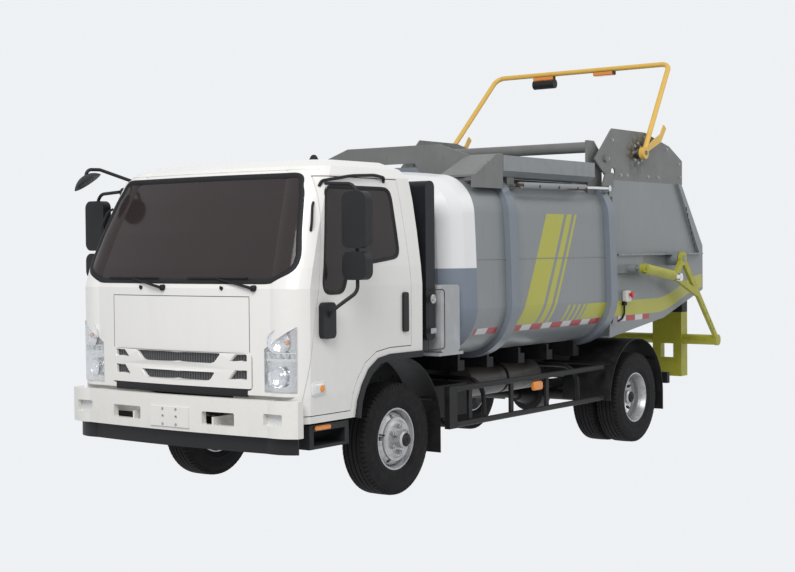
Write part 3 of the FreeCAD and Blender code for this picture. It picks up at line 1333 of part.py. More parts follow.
def build_chassis_boxes():
    inner = c.rail_outer_half
    battery = block("battery_case", ("battery_width", "battery_length", "battery_height"),
                    ("rail_outer_half + box_clear", "battery_front", "battery_low"))
    shelf = block("battery_shelf", ("battery_width + box_clear", "battery_length", "rail_wall"),
                  ("rail_outer_half", "battery_front", "battery_low - rail_wall"))
    hanger = block("battery_hanger", ("rail_wall", "battery_length", "battery_height + rail_wall"),
                   ("rail_outer_half", "battery_front", "battery_low - rail_wall"))
    keep(fused("battery_box", [battery, shelf, hanger]), "battery_box")

    x0, x1 = -inner - c.box_clear - c.tank_width, -inner - c.box_clear
    y0, z0 = c.tank_front, c.tank_low
    body = soft_prism([(x0, z0), (x1, z0), (x1, z0 + c.tank_height), (x0, z0 + c.tank_height)], "y", y0,
                      y0 + c.tank_length, c.tank_corner)
    stays = [cuboid(x1 - c.tank_corner, -inner, y0 + c.tank_length * share, y0 + c.tank_length * share + c.box_clear,
                    z0 + c.tank_corner, z0 + c.tank_height - c.tank_corner) for share in (0.15, 0.8)]
    cap = Part.makeCylinder(c.box_clear, c.box_clear, Vector(x0 + c.tank_corner * 1.6, y0 + c.tank_length * 0.2,
                                                             z0 + c.tank_height - 1))
    fuel_tank = union([body, cap] + stays)

    radius, x = c.air_tank_radius, inner + c.box_clear + c.air_tank_radius
    tanks = []
    for number in range(2):
        y = c.air_tank_front + number * (c.air_tank_length + c.box_clear)
        z = c.rail_top - c.rail_height * 0.75
        tank = bar(radius, Vector(x, y, z), Vector(x, y + c.air_tank_length, z))
        stay = cuboid(inner, x, y + c.air_tank_length * 0.4, y + c.air_tank_length * 0.4 + c.box_clear,
                      z - radius / 2, z + radius / 2)
        tanks.append(union([tank, stay]))

    radius, x = c.silencer_radius, -inner - c.box_clear - c.silencer_radius
    y, z = c.silencer_front, c.rail_top - c.rail_height * 1.15
    can = bar(radius, Vector(x, y, z), Vector(x, y + c.silencer_length, z))
    stay = cuboid(x, -inner, y + c.silencer_length * 0.45, y + c.silencer_length * 0.55, z, z + c.box_clear * 2)
    pipe = bar(c.box_clear * 0.8, Vector(x, y - c.box_clear * 2, z), Vector(x, y + c.silencer_length + c.run_gap, z))
    feature("chassis_tanks", Part.makeCompound([fuel_tank, union([can, stay, pipe])] + tanks))


# Container: a barrel section swept back, with a dished front and ring ribs
def barrel_wire(grow, station, squeeze=1.0):
    """Closed cross section of the container, drawn out by a distance."""
    mid_z = (c.barrel_floor + c.barrel_roof) / 2

    def at(x, z):
        return Vector(x * squeeze, station, mid_z + (z - mid_z) * squeeze)

    floor, roof = c.barrel_floor - grow, c.barrel_roof + grow
    half, top_half = c.barrel_half + grow, c.barrel_top_half + grow
    low_x, low_z = c.barrel_floor_half, floor
    corner_low = (low_x + (half - low_x) * 0.70, floor + (c.barrel_widest - floor) * 0.36)
    corner_high = (c.barrel_roof_half + (top_half - c.barrel_roof_half) * 0.72,
                   c.barrel_shoulder + (c.barrel_roof_edge + grow - c.barrel_shoulder) * 0.66)
    side_mid = ((half + top_half) / 2 + (half - top_half) * 0.15, (c.barrel_widest + c.barrel_shoulder) / 2)
    edges = []

    def arc(first, middle, last):
        edges.append(Part.Arc(at(*first), at(*middle), at(*last)).toShape())

    edges.append(Part.LineSegment(at(-low_x, low_z), at(low_x, low_z)).toShape())
    arc((low_x, low_z), corner_low, (half, c.barrel_widest))
    arc((half, c.barrel_widest), side_mid, (top_half, c.barrel_shoulder))
    arc((top_half, c.barrel_shoulder), corner_high, (c.barrel_roof_half, c.barrel_roof_edge + grow))
    arc((c.barrel_roof_half, c.barrel_roof_edge + grow), (0, roof), (-c.barrel_roof_half, c.barrel_roof_edge + grow))
    arc((-c.barrel_roof_half, c.barrel_roof_edge + grow), (-corner_high[0], corner_high[1]),
        (-top_half, c.barrel_shoulder))
    arc((-top_half, c.barrel_shoulder), (-side_mid[0], side_mid[1]), (-half, c.barrel_widest))
    arc((-half, c.barrel_widest), (-corner_low[0], corner_low[1]), (-low_x, low_z))
    return Part.Wire(edges)


def barrel_block(grow, front, back):
    return Part.Face(barrel_wire(grow, front)).extrude(Vector(0, back - front, 0))


DISH_SHARES = ((0.0, 1.0), (0.34, 0.972), (0.62, 0.925), (0.83, 0.85), (0.95, 0.76), (1.0, 0.64))


def dish_block(inset):
    wires = []
    for reach_share, size_share in DISH_SHARES:
        station = c.barrel_front - (c.dish_reach - inset) * reach_share
        wires.append(barrel_wire(-inset, station, size_share))
    return Part.makeLoft(wires, True, True)


def build_container():
    wall, front, back = c.barrel_wall, c.barrel_front, c.barrel_rear
    ring = barrel_block(0, front, back).cut(barrel_block(-wall, front - wall, back + wall))
    wide = c.barrel_half + c.cut_overrun
    low_cut = cuboid(-wide, wide, front - wall, back + wall, 0, c.barrel_widest)
    high_cut = cuboid(-wide, wide, front - wall, back + wall, c.barrel_shoulder, c.barrel_roof + wide)
    feature("container_floor", ring.common(low_cut))
    feature("container_roof", ring.common(high_cut))
    feature("container_sides", ring.cut(low_cut).cut(high_cut))
    feature("container_front", dish_block(0).cut(dish_block(wall)))

    ribs = []
    for station in (c.rib_front_station, c.rib_rear_station):
        rib = barrel_block(c.rib_depth, station, station + c.rib_width)
        ribs.append(rib.cut(barrel_block(0, station - wall, station + c.rib_width + wall)))
    feature("container_ribs", Part.makeCompound(ribs))

    skids = []
    for sign in (1, -1):
        text = "rail_outer_half - rail_flange" if sign > 0 else "-rail_outer_half"
        skids.append(block("skid_%d" % (sign + 1), ("rail_flange", "skid_rear - skid_front", "skid_height"),
                           (text, "skid_front", "rail_top")))
    bearers = []
    for number, share in enumerate((0.05, 0.25, 0.48, 0.7, 0.92)):
        station = "barrel_front + %s * (barrel_rear - barrel_front - bearer_width)" % share
        bearers.append(block("bearer_%d" % number, ("2 * bearer_half", "bearer_width",
                                                    "barrel_floor - rail_top - rib_depth"),
                             ("-bearer_half", station, "rail_top")))
        bearers.append(block("bearer_top_%d" % number, ("2 * bearer_half", "bearer_width / 3", "rib_depth"),
                             ("-bearer_half", station, "barrel_floor - rib_depth")))
    base = fused("subframe_base", skids + bearers)
    doc.recompute()
    rib_room = Part.makeCompound([barrel_block(c.rib_depth, s, s + c.rib_width)
                                  for s in (c.rib_front_station, c.rib_rear_station)])
    feature("subframe", base.Shape.cut(barrel_block(0, front, back)).cut(rib_room))


def build_container_top():
    """Front gussets and hood, side covers over the rams, hinge plates and the edge roll."""
    wall = c.cover_wall
    outline = [(c.gusset_front, c.gusset_low), (c.cover_front - wall, c.gusset_low),
               (c.cover_front - wall, c.gusset_high), (c.cover_front - c.gusset_rise, c.gusset_high - wall),
               (c.gusset_front, c.gusset_low + c.gusset_rise)]
    outer = c.cover_outer
    plate = prism(outline, "x", outer - wall * 5, outer)
    deck = [(c.gusset_front, c.gusset_low + c.gusset_rise), (c.cover_front - wall, c.gusset_high),
            (c.cover_front - wall, c.gusset_high - wall * 2), (c.gusset_front, c.gusset_low + c.gusset_rise - wall * 2)]
    ramp = prism(deck, "x", c.barrel_roof_half - wall * 3, outer - wall)
    side_plates = both_sides(plate.fuse(ramp))
    hood_front = c.cover_front - wall * 3
    half, top = c.barrel_roof_half, c.gusset_high
    lift = wall / 2
    crown = c.barrel_roof - (c.barrel_roof - c.barrel_roof_edge) / 4 + lift
    hood = [(-half, c.barrel_roof_edge + lift), (-half / 2, crown), (0, c.barrel_roof + lift), (half / 2, crown),
            (half, c.barrel_roof_edge + lift), (half, top), (half * 0.62, top + c.gusset_rise),
            (-half * 0.62, top + c.gusset_rise), (-half, top)]
    panel = prism(hood, "y", hood_front, c.cover_front - wall)
    opening = [(-half * 0.55, c.gusset_low), (half * 0.55, c.gusset_low),
               (half * 0.3, c.barrel_roof + c.gusset_rise * 0.8), (-half * 0.3, c.barrel_roof + c.gusset_rise * 0.8)]
    panel = panel.cut(prism(opening, "y", hood_front - wall, c.cover_front + wall))
    room = barrel_block(0, c.gusset_front - wall, c.cover_front + wall)
    rib = barrel_block(c.rib_depth, c.rib_front_station, c.rib_front_station + c.rib_width)
    panel = panel.cut(side_plates).cut(rib)
    feature("front_hood", Part.makeCompound([panel, side_plates.cut(room).cut(rib)]))

    section = [(c.cover_inner, c.cover_high), (c.cover_outer, c.cover_high),
               (c.cover_outer, c.cover_low + wall * 5), (c.cover_outer - wall * 6, c.cover_low),
               (c.cover_inner, c.cover_low)]
    inside = [(c.cover_inner - wall, c.cover_high - wall), (c.cover_outer - wall, c.cover_high - wall),
              (c.cover_outer - wall, c.cover_low + wall * 5), (c.cover_outer - wall * 6.5, c.cover_low + wall),
              (c.cover_inner - wall, c.cover_low + wall)]
    beam = prism(section, "y", c.cover_front, c.cover_rear)
    beam = beam.cut(prism(inside, "y", c.cover_front + wall, c.cover_rear - wall))
    beam = beam.cut(barrel_block(0, c.cover_front - wall, c.cover_rear + wall))
    beam = beam.cut(barrel_block(c.rib_depth, c.rib_front_station, c.rib_front_station + c.rib_width))
    feature("side_covers", both_sides(beam))

    x0, x1 = c.hinge_plate_half - c.hinge_plate_wall, c.hinge_plate_half
    reach = c.roll_radius * 1.2
    outline = [(c.roll_station - reach, c.barrel_shoulder), (c.barrel_rear - wall, c.barrel_shoulder),
               (c.hinge_station + c.hinge_boss_radius * 0.6, c.hinge_height - c.hinge_boss_radius),
               (c.hinge_station + c.hinge_boss_radius * 0.6, c.hinge_height + c.hinge_boss_radius * 0.5),
               (c.roll_station + reach, c.roll_height + reach), (c.roll_station - reach, c.roll_height + reach)]
    plate = prism(outline, "x", x0, x1)
    pin_end = c.gate_half + c.run_gap + c.head_plate_wall
    pin = bar(c.hinge_pin_radius, Vector(x0, c.hinge_station, c.hinge_height),
              Vector(pin_end, c.hinge_station, c.hinge_height))
    boss = bar(c.hinge_boss_radius, Vector(x0 - wall, c.hinge_station, c.hinge_height),
               Vector(c.gate_half - c.head_plate_wall - c.run_gap, c.hinge_station, c.hinge_height))
    foot = barrel_block(0, c.roll_station - c.cut_overrun, c.barrel_rear)
    rib = barrel_block(c.rib_depth, c.rib_rear_station, c.rib_rear_station + c.rib_width)
    brackets = union([plate, pin, boss]).cut(foot).cut(rib)
    roll = bar(c.roll_radius, Vector(-x0, c.roll_station, c.roll_height), Vector(x0, c.roll_station, c.roll_height))
    hinge_frame = union([brackets, mirrored(brackets), roll])

    ram_x = c.lug_half
    foot_block = cuboid(c.barrel_roof_half, c.cover_outer - wall * 7, c.gate_ram_front - c.gate_ram_radius * 2,
                        c.gate_ram_front + c.gate_ram_radius * 2, c.gate_ram_height - c.gate_ram_radius,
                        c.cover_low - c.seat_gap)
    pin = bar(c.ram_pin_radius, Vector(c.cover_outer - wall * 9, c.gate_ram_front, c.gate_ram_height),
              Vector(ram_x + c.lug_wall, c.gate_ram_front, c.gate_ram_height))
    anchor = foot_block.fuse(pin).cut(barrel_block(0, c.cover_front, c.cover_rear))
    feature("hinge_brackets", Part.makeCompound([hinge_frame, both_sides(anchor.removeSplitter())]))


def build_front_fittings():
    """Intake duct, side locker, its shelf and the lifting eyes on the dished front."""
    x, y = c.snorkel_half, c.snorkel_station
    points = [(y - c.snorkel_width / 2, c.snorkel_low), (y + c.snorkel_width / 2, c.snorkel_low),
              (y + c.snorkel_width / 2, c.snorkel_high), (y - c.snorkel_width / 2, c.snorkel_high)]
    duct = soft_prism(points, "x", x - c.snorkel_depth / 2, x + c.snorkel_depth / 2, c.snorkel_width * 0.42)
    elbow = bar(c.snorkel_width * 0.4, Vector(x, y, c.snorkel_low + c.snorkel_width / 2),
                Vector(c.rail_outer_half - c.rail_flange / 2, y, c.rail_top + c.snorkel_width))
    foot = cuboid(c.rail_outer_half - c.rail_flange, c.rail_outer_half, y - c.snorkel_width / 2,
                  y + c.snorkel_width / 2, c.rail_top, c.rail_top + c.snorkel_width)
    feature("intake_duct", union([duct, elbow, foot]))

    x0, x1 = c.locker_outer - c.locker_width, c.locker_outer
    y0 = c.locker_front + c.snorkel_width * 1.6
    points = [(y0, c.locker_low), (y0 + c.locker_length, c.locker_low),
              (y0 + c.locker_length, c.locker_low + c.locker_height), (y0, c.locker_low + c.locker_height)]
    case = soft_prism(points, "x", x0, x1, c.locker_width / 8)
    shelf = cuboid(c.rail_outer_half - c.rail_flange, x1, y0 - c.shelf_wall, y0 + c.locker_length + c.shelf_wall * 2,
                   c.locker_low - c.shelf_wall, c.locker_low)
    post = cuboid(c.rail_outer_half - c.rail_flange, c.rail_outer_half, y0 + c.shelf_wall,
                  y0 + c.locker_length - c.shelf_wall, c.rail_top, c.locker_low - c.shelf_wall)
    clear = dish_block(0).fuse(barrel_block(0, c.barrel_front, c.barrel_rear))
    skid_room = cuboid(-c.rail_outer_half, c.rail_outer_half, c.skid_front, c.skid_rear, c.rail_top,
                       c.rail_top + c.skid_height)
    feature("locker", union([case, shelf, post]).cut(clear).cut(skid_room))


def build_lifting_eyes():
    """Teardrop plates with two holes on the shoulders of the container's front."""
    station = c.barrel_front - c.dish_reach * 0.55
    big = c.snorkel_width * 0.5
    small = big * 0.45
    x_top, z_top = c.barrel_half * 0.70, c.barrel_shoulder + big * 2.4
    x_low, z_low = x_top + big * 1.5, z_top - big * 2.6
    length = c.dish_reach
    shapes = []
    for x, z, radius in ((x_top, z_top, big), (x_low, z_low, small)):
        shapes.append(bar(radius, Vector(x, station - length, z), Vector(x, station + length, z)))
    run = Vector(x_low - x_top, 0, z_low - z_top)
    across = Vector(-run.z, 0, run.x).normalize()
    corners = [Vector(x_top, station - length, z_top) + across * big, Vector(x_top, station - length, z_top) - across * big,
               Vector(x_low, station - length, z_low) - across * small,
               Vector(x_low, station - length, z_low) + across * small]
    shapes.append(Part.Face(Part.makePolygon(corners + corners[:1])).extrude(Vector(0, length * 2, 0)))
    tear = union(shapes)
    holes = [bar(big * 0.5, Vector(x_top, station - length * 2, z_top), Vector(x_top, station + length * 2, z_top))]
    tear = tear.cut(Part.makeCompound(holes))
    wall = c.eye_plate_wall
    shell = dish_wrap(wall).cut(dish_block(0))
    feature("lifting_eyes", both_sides(tear.common(shell)))


def dish_wrap(grow):
    """The dished front drawn out by a plate's thickness."""
    wires = []
    for reach_share, size_share in DISH_SHARES:
        station = c.barrel_front - (c.dish_reach + grow) * reach_share
        wires.append(barrel_wire(grow, station, size_share))
    return Part.makeLoft(wires, True, True)


# Tailgate: two side walls, the wrapped skin and the head plates
def gate_outline(inset):
    """Side view of the tailgate behind the container's mouth."""
    front = c.barrel_rear + c.gate_gap
    return [(front, c.gate_floor + inset), (c.gate_hip_station, c.gate_hip_height + inset),
            (c.gate_reach - inset * 2, c.gate_tail_low + inset), (c.gate_reach - inset, c.gate_tail_high),
            (c.gate_top_rear - inset, c.gate_top)]


def build_tailgate():
    wall, half = c.gate_wall, c.gate_half
    front = c.barrel_rear + c.gate_gap
    outline = gate_outline(0) + [(front, c.gate_top)]
    side = prism(outline, "x", half - wall, half)
    inner = gate_outline(wall)
    skin_loop = gate_outline(0) + inner[::-1]
    skin = prism(skin_loop, "x", -half + wall, half - wall)
    feature("tailgate_skin", skin)
    ledge = cuboid(half, half + c.ledge_proud, c.ledge_front, c.gate_reach - c.ledge_proud * 2, c.ledge_height,
                   c.ledge_height + c.ledge_wall)
    cover = cuboid(half, half + c.ledge_proud * 0.6, c.ledge_front, c.ledge_front + c.ledge_proud * 8,
                   c.ledge_height - c.ledge_proud * 2.4, c.ledge_height)
    post = cuboid(half, half + c.stiffener_proud, front, front + c.stiffener_width, c.gate_floor + c.ledge_proud * 2,
                  c.lug_height - c.lug_radius * 2)
    slope_x = c.gate_reach - c.stiffener_width * 2.2
    rear_rib = prism([(c.gate_top_rear - c.stiffener_width * 2.2, c.gate_top), (c.gate_top_rear - c.stiffener_width * 1.2,
                                                                            c.gate_top),
                      (slope_x + c.stiffener_width, c.ledge_height), (slope_x, c.ledge_height)], "x", half,
                     half + c.stiffener_proud)
    lamp_box = cuboid(half - c.tail_lamp_width, half, c.tail_lamp_station - c.tail_lamp_depth, c.tail_lamp_station,
                      c.tail_lamp_low, c.tail_lamp_low + c.tail_lamp_height)
    pivot = bar(c.arm_boss_radius, Vector(half, c.arm_pivot_station, c.arm_pivot_height),
                Vector(c.arm_half - c.run_gap, c.arm_pivot_station, c.arm_pivot_height))
    pin = bar(c.arm_pin_radius, Vector(half, c.arm_pivot_station, c.arm_pivot_height),
              Vector(c.arm_half + c.arm_wall + c.run_gap, c.arm_pivot_station, c.arm_pivot_height))
    foot = bar(c.ram_eye_radius, Vector(half, c.ram_front_station, c.ram_front_height),
               Vector(c.arm_half - c.run_gap, c.ram_front_station, c.ram_front_height))
    ram_end = c.arm_half + c.arm_wall + c.run_gap + c.ram_eye_radius * 1.3
    foot_pin = bar(c.ram_pin_radius, Vector(half, c.ram_front_station, c.ram_front_height),
                   Vector(ram_end, c.ram_front_station, c.ram_front_height))
    side = union([side, ledge, cover, post, rear_rib, pivot, pin, foot, foot_pin])
    feature("tailgate_sides", both_sides(side))

    plate_outline = [(c.head_front, c.head_front_low), (c.head_rise_station, c.head_top),
                     (c.head_flat_rear, c.head_top), (c.head_hip_station, c.head_hip_height),
                     (c.head_rear, c.head_rear_high), (c.head_rear, c.gate_top), (c.head_front_heel, c.gate_top)]
    plate = prism(plate_outline, "x", half - c.head_plate_wall, half)
    holes = [bar(c.hinge_pin_radius + c.seat_gap / 6, Vector(0, c.hinge_station, c.hinge_height),
                 Vector(half * 2, c.hinge_station, c.hinge_height)),
             bar(c.head_hole_radius, Vector(0, c.head_hole_station, c.head_hole_height),
                 Vector(half * 2, c.head_hole_station, c.head_hole_height))]
    plate = plate.cut(Part.makeCompound(holes))
    hub = bar(c.hoop_boss_radius, Vector(half, c.hoop_station, c.hoop_height),
              Vector(c.hoop_half - c.hoop_tube - c.run_gap, c.hoop_station, c.hoop_height))
    hub_pin = bar(c.hoop_pin_radius, Vector(half - c.head_plate_wall, c.hoop_station, c.hoop_height),
                  Vector(c.hoop_half + c.hoop_tube + c.run_gap, c.hoop_station, c.hoop_height))
    lug_outline = [(c.head_front_heel + c.stiffener_width, c.gate_top + c.stiffener_width),
                   (c.head_front_heel - c.lug_radius * 2, c.gate_top + c.stiffener_width),
                   (c.lug_station - c.lug_radius, c.lug_height + c.lug_radius),
                   (c.lug_station - c.lug_radius, c.lug_height - c.lug_radius),
                   (c.lug_station + c.lug_radius, c.lug_height - c.lug_radius),
                   (c.head_front_heel + c.stiffener_width, c.gate_top - c.stiffener_width)]
    lug = prism(lug_outline, "x", half, half + c.lug_wall)
    sides = union([plate, hub, hub_pin, lug])
    feature("head_plates", union([sides, mirrored(sides)]))
    lamps = both_sides(lamp_box)
    feature("tail_lamps", lamps.cut(prism(gate_outline(0) + [(front, c.gate_top)], "x", -half, half)))


# Lift arms with their cross tube and grab heads
def build_lift_arms():
    pivot = Vector(0, c.arm_pivot_station, c.arm_pivot_height)
    tip = Vector(0, c.arm_reach_station, c.arm_reach_height)
    crank = Vector(0, c.crank_station, c.crank_height)
    x0, x1 = c.arm_half, c.arm_half + c.arm_wall
    discs = []
    for centre, radius in ((pivot, c.arm_boss_radius), (tip, c.arm_tip_radius), (crank, c.crank_boss_radius)):
        discs.append(bar(radius, centre + Vector(x0, 0, 0), centre + Vector(x1, 0, 0)))
    web = c.arm_web / 2

    def strip(first, last, wide_first, wide_last):
        run = last - first
        across = Vector(0, -run.z, run.y).normalize()
        corners = [first + across * wide_first, first - across * wide_first, last - across * wide_last,
                   last + across * wide_last]
        corners = [Vector(x0, p.y, p.z) for p in corners]
        return Part.Face(Part.makePolygon(corners + corners[:1])).extrude(Vector(x1 - x0, 0, 0))

    knee = pivot + (tip - pivot) * 0.42
    strips = [strip(pivot, tip, web, web * 0.72), strip(crank, knee, web * 0.8, web), strip(pivot, crank, web, web)]
    lever = union(discs + strips)
    bores = [bar(c.arm_pin_radius + c.seat_gap / 6, pivot + Vector(x0 - 1, 0, 0), pivot + Vector(x1 + 1, 0, 0))]
    for share in (0.56, 0.66, 0.76, 0.86):
        spot = pivot + (tip - pivot) * share
        bores.append(bar(web * 0.28, spot + Vector(x0 - 1, 0, 0), spot + Vector(x1 + 1, 0, 0)))
    lever = lever.cut(Part.makeCompound(bores))
    levers = [lever, mirrored(lever)]
    tube = bar(c.lift_tube_radius, tip + Vector(-x1, 0, 0), tip + Vector(x1, 0, 0))
    heads = []
    for sign in (1, -1):
        a, b = sorted((sign * c.grab_inner, sign * c.grab_outer))
        inset = c.grab_window_inset
        box = cuboid(a, b, c.grab_front, c.rear_reach, c.grab_low, c.grab_high)
        window = cuboid(a + inset, b - inset, c.grab_front + c.grab_wall, c.rear_reach + 1,
                        c.grab_low + inset, c.grab_high - inset)
        box = box.cut(window)
        through = cuboid(a + inset * 1.4, b - inset * 1.4, c.grab_front - 1, c.rear_reach + 1,
                         c.grab_low + inset * 3, c.grab_low + (c.grab_high - c.grab_low) * 0.5)
        heads.append(box.cut(through))
    beam = cuboid(-c.grab_outer, c.grab_outer, c.grab_front, c.grab_front + c.beam_height / 2,
                  c.grab_high - c.beam_height * 1.8, c.grab_high - c.beam_height * 0.8)
    feature("lift_arms", union(levers + [tube, beam] + heads))


def ram_pieces(start, end, half_x, radius, rod_radius, barrel, eye, pin_in, hole):
    """Barrel and rod of one hydraulic ram in a plane across X; pin_in is how far the rod's own pin reaches."""
    run = (end - start)
    way = Vector(run.x, run.y, run.z).normalize()
    barrel_end = start + way * barrel
    clear = hole + c.seat_gap / 6
    body = union([bar(radius, start + way * eye * 0.8, barrel_end),
                  bar(eye, start - Vector(half_x, 0, 0), start + Vector(half_x, 0, 0))])
    bore = bar(rod_radius + c.seat_gap / 6, start + way * (eye * 1.2 + radius), barrel_end + way)
    body = body.cut(bore).cut(bar(clear, start - Vector(half_x * 2, 0, 0), start + Vector(half_x * 2, 0, 0)))
    rod_start = start + way * (eye * 1.2 + radius + c.run_gap)
    rod_piece = union([bar(rod_radius, rod_start, end - way * eye * 0.8),
                       bar(eye, end - Vector(half_x, 0, 0), end + Vector(half_x, 0, 0))])
    pin = bar(hole, end - Vector(pin_in, 0, 0), end + Vector(half_x + c.run_gap, 0, 0))
    return body, union([rod_piece, pin])


def build_rams():
    x = c.arm_half + c.arm_wall + c.run_gap + c.ram_eye_radius * 0.6
    body, rod_piece = ram_pieces(Vector(x, c.ram_front_station, c.ram_front_height),
                                 Vector(x, c.crank_station, c.crank_height), c.ram_eye_radius * 0.55,
                                 c.ram_radius, c.ram_rod_radius, c.ram_barrel_length, c.ram_eye_radius,
                                 c.ram_eye_radius * 0.5, c.ram_pin_radius)
    feature("lift_ram_barrels", both_sides(body))
    feature("lift_ram_rods", both_sides(rod_piece))
    x = c.lug_half
    body, rod_piece = ram_pieces(Vector(x, c.gate_ram_front, c.gate_ram_height),
                                 Vector(x, c.lug_station, c.lug_height), c.gate_ram_rod, c.gate_ram_radius,
                                 c.gate_ram_rod, c.gate_ram_barrel, c.gate_ram_radius,
                                 c.lug_half - c.gate_half - c.lug_wall - c.run_gap, c.ram_pin_radius)
    feature("gate_ram_barrels", both_sides(body))
    feature("gate_ram_rods", both_sides(rod_piece))


def build_hoop():
    """Bent tube hoop over the tailgate head, with its lamps and hook lever."""
    foot = Vector(c.hoop_half, c.hoop_station, c.hoop_height)
    top = Vector(c.hoop_top_half, c.hoop_top_station, c.hoop_top_height)
    path = [foot, top, Vector(-top.x, top.y, top.z), Vector(-foot.x, foot.y, foot.z)]
    tube = bent_tube(c.hoop_tube, path, c.hoop_bend)
    shapes = [tube]
    lamp_run = Vector(0, c.hoop_top_station, c.hoop_top_height - c.hoop_tube - c.marker_lamp_height)
    for sign in (1, -1):
        eye = bar(c.hoop_boss_radius, Vector(sign * (c.hoop_half - c.hoop_tube), foot.y, foot.z),
                  Vector(sign * (c.hoop_half + c.hoop_tube), foot.y, foot.z))
        shapes.append(eye)
        lever = [(foot.y, foot.z - c.hoop_tube), (foot.y + c.hoop_boss_radius * 7, foot.z + c.hoop_boss_radius * 2.2),
                 (foot.y + c.hoop_boss_radius * 9, foot.z + c.hoop_boss_radius * 4.6),
                 (foot.y + c.hoop_boss_radius * 8.2, foot.z + c.hoop_boss_radius * 5.2),
                 (foot.y + c.hoop_boss_radius * 7, foot.z + c.hoop_boss_radius * 3.6),
                 (foot.y, foot.z + c.hoop_tube * 1.4)]
        a, b = sorted((sign * (c.hoop_half - c.hoop_tube), sign * (c.hoop_half - c.hoop_tube * 0.4)))
        shapes.append(prism(lever, "x", a, b))
    solid = union(shapes)
    pins = bar(c.hoop_pin_radius + c.seat_gap / 6, Vector(-c.hoop_half * 2, foot.y, foot.z),
               Vector(c.hoop_half * 2, foot.y, foot.z))
    feature("hoop", solid.cut(pins))
    lamps = []
    z1 = c.hoop_top_height - c.hoop_tube + c.seat_gap * 10
    for x in (c.hoop_top_half * 0.28, -c.hoop_top_half * 0.42):
        lamps.append(cuboid(x - c.marker_lamp_length / 2, x + c.marker_lamp_length / 2,
                            c.hoop_top_station - c.marker_lamp_depth / 2, c.hoop_top_station + c.marker_lamp_depth / 2,
                            z1 - c.marker_lamp_height, z1))
    x = -c.hoop_top_half * 0.42
    z = z1 - c.marker_lamp_height - c.work_lamp_radius * 0.9
    lamps.append(bar(c.work_lamp_radius, Vector(x - c.work_lamp_length / 2, c.hoop_top_station, z),
                     Vector(x + c.work_lamp_length / 2, c.hoop_top_station, z)))
    feature("hoop_lamps", Part.makeCompound([lamps[0], lamps[1].fuse(lamps[2])]).cut(tube))


build_frame()
build_engine()
feature("axles", Part.makeCompound([front_axle(), rear_axle()]))
build_knuckle("knuckle_left", 1)
build_knuckle("knuckle_right", -1)
for end, is_rear in (("front", False), ("rear", True)):
    for side, direction in (("left", 1), ("right", -1)):
        build_wheel("%s_wheel_%s" % (end, side), direction, is_rear)
        build_tyre("%s_tyre_%s" % (end, side), direction, is_rear)
build_bumper()
build_valance()
build_fog_lamps()
build_cab()
build_cab_front()
build_cab_inside()
build_mirrors()
build_mudguards()
build_side_guards()
build_chassis_boxes()
build_container()
build_container_top()
build_front_fittings()
build_lifting_eyes()
build_tailgate()
build_lift_arms()
build_rams()
build_hoop()

doc.recompute()
problems = [item.Name for item in doc.Objects if "Invalid" in item.State or "Error" in item.State]
for item in subparts:
    if item.Shape.isNull() or not item.Shape.isValid() or min(s.Volume for s in item.Shape.Solids) <= 0:
        problems.append(item.Label)
if problems:
    raise RuntimeError("these did not build: " + ", ".join(problems))

os.makedirs("parts", exist_ok=True)
for item in subparts:
    item.Shape.exportStep(os.path.join("parts", item.Label + ".step"))
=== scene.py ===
"""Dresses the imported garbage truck: finishes for its CAD nodes, and the small pieces on them."""
import math
import bmesh
import bpy
from mathutils import Matrix, Vector
from mathutils.bvhtree import BVHTree


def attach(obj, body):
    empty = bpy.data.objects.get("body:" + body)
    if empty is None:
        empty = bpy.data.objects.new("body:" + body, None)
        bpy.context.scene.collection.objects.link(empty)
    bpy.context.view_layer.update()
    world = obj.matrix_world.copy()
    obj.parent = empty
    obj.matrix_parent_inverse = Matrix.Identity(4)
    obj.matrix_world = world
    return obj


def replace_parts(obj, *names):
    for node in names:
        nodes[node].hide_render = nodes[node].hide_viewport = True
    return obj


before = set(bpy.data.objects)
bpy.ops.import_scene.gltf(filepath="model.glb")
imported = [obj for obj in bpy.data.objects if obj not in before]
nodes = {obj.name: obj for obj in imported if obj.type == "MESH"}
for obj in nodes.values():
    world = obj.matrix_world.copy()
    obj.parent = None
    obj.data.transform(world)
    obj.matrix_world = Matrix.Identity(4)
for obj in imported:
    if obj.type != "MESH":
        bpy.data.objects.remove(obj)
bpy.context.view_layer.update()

MIDDLE = 1.838  # from the front axle, station 0 of the drawing, to the middle of the truck
SIDES = (("left", 1), ("right", -1))
WHITE = (0.79, 0.775, 0.745)
GREY = (0.215, 0.232, 0.237)
BLUE_GREY = (0.165, 0.197, 0.243)
STRIPE = (0.44, 0.43, 0.035)
ARM_GREEN = (0.40, 0.39, 0.03)
HOOP = (0.80, 0.50, 0.095)
BLACK = (0.0065, 0.0065, 0.0075)
RUBBER = (0.0095, 0.0095, 0.0105)
RED = (0.40, 0.012, 0.018)
AMBER = (0.80, 0.23, 0.02)


def at(x, station, z):
    """A point of the drawing: millimetres across, behind the front axle, and up."""
    return Vector((x / 1000, station / 1000 - MIDDLE, z / 1000))


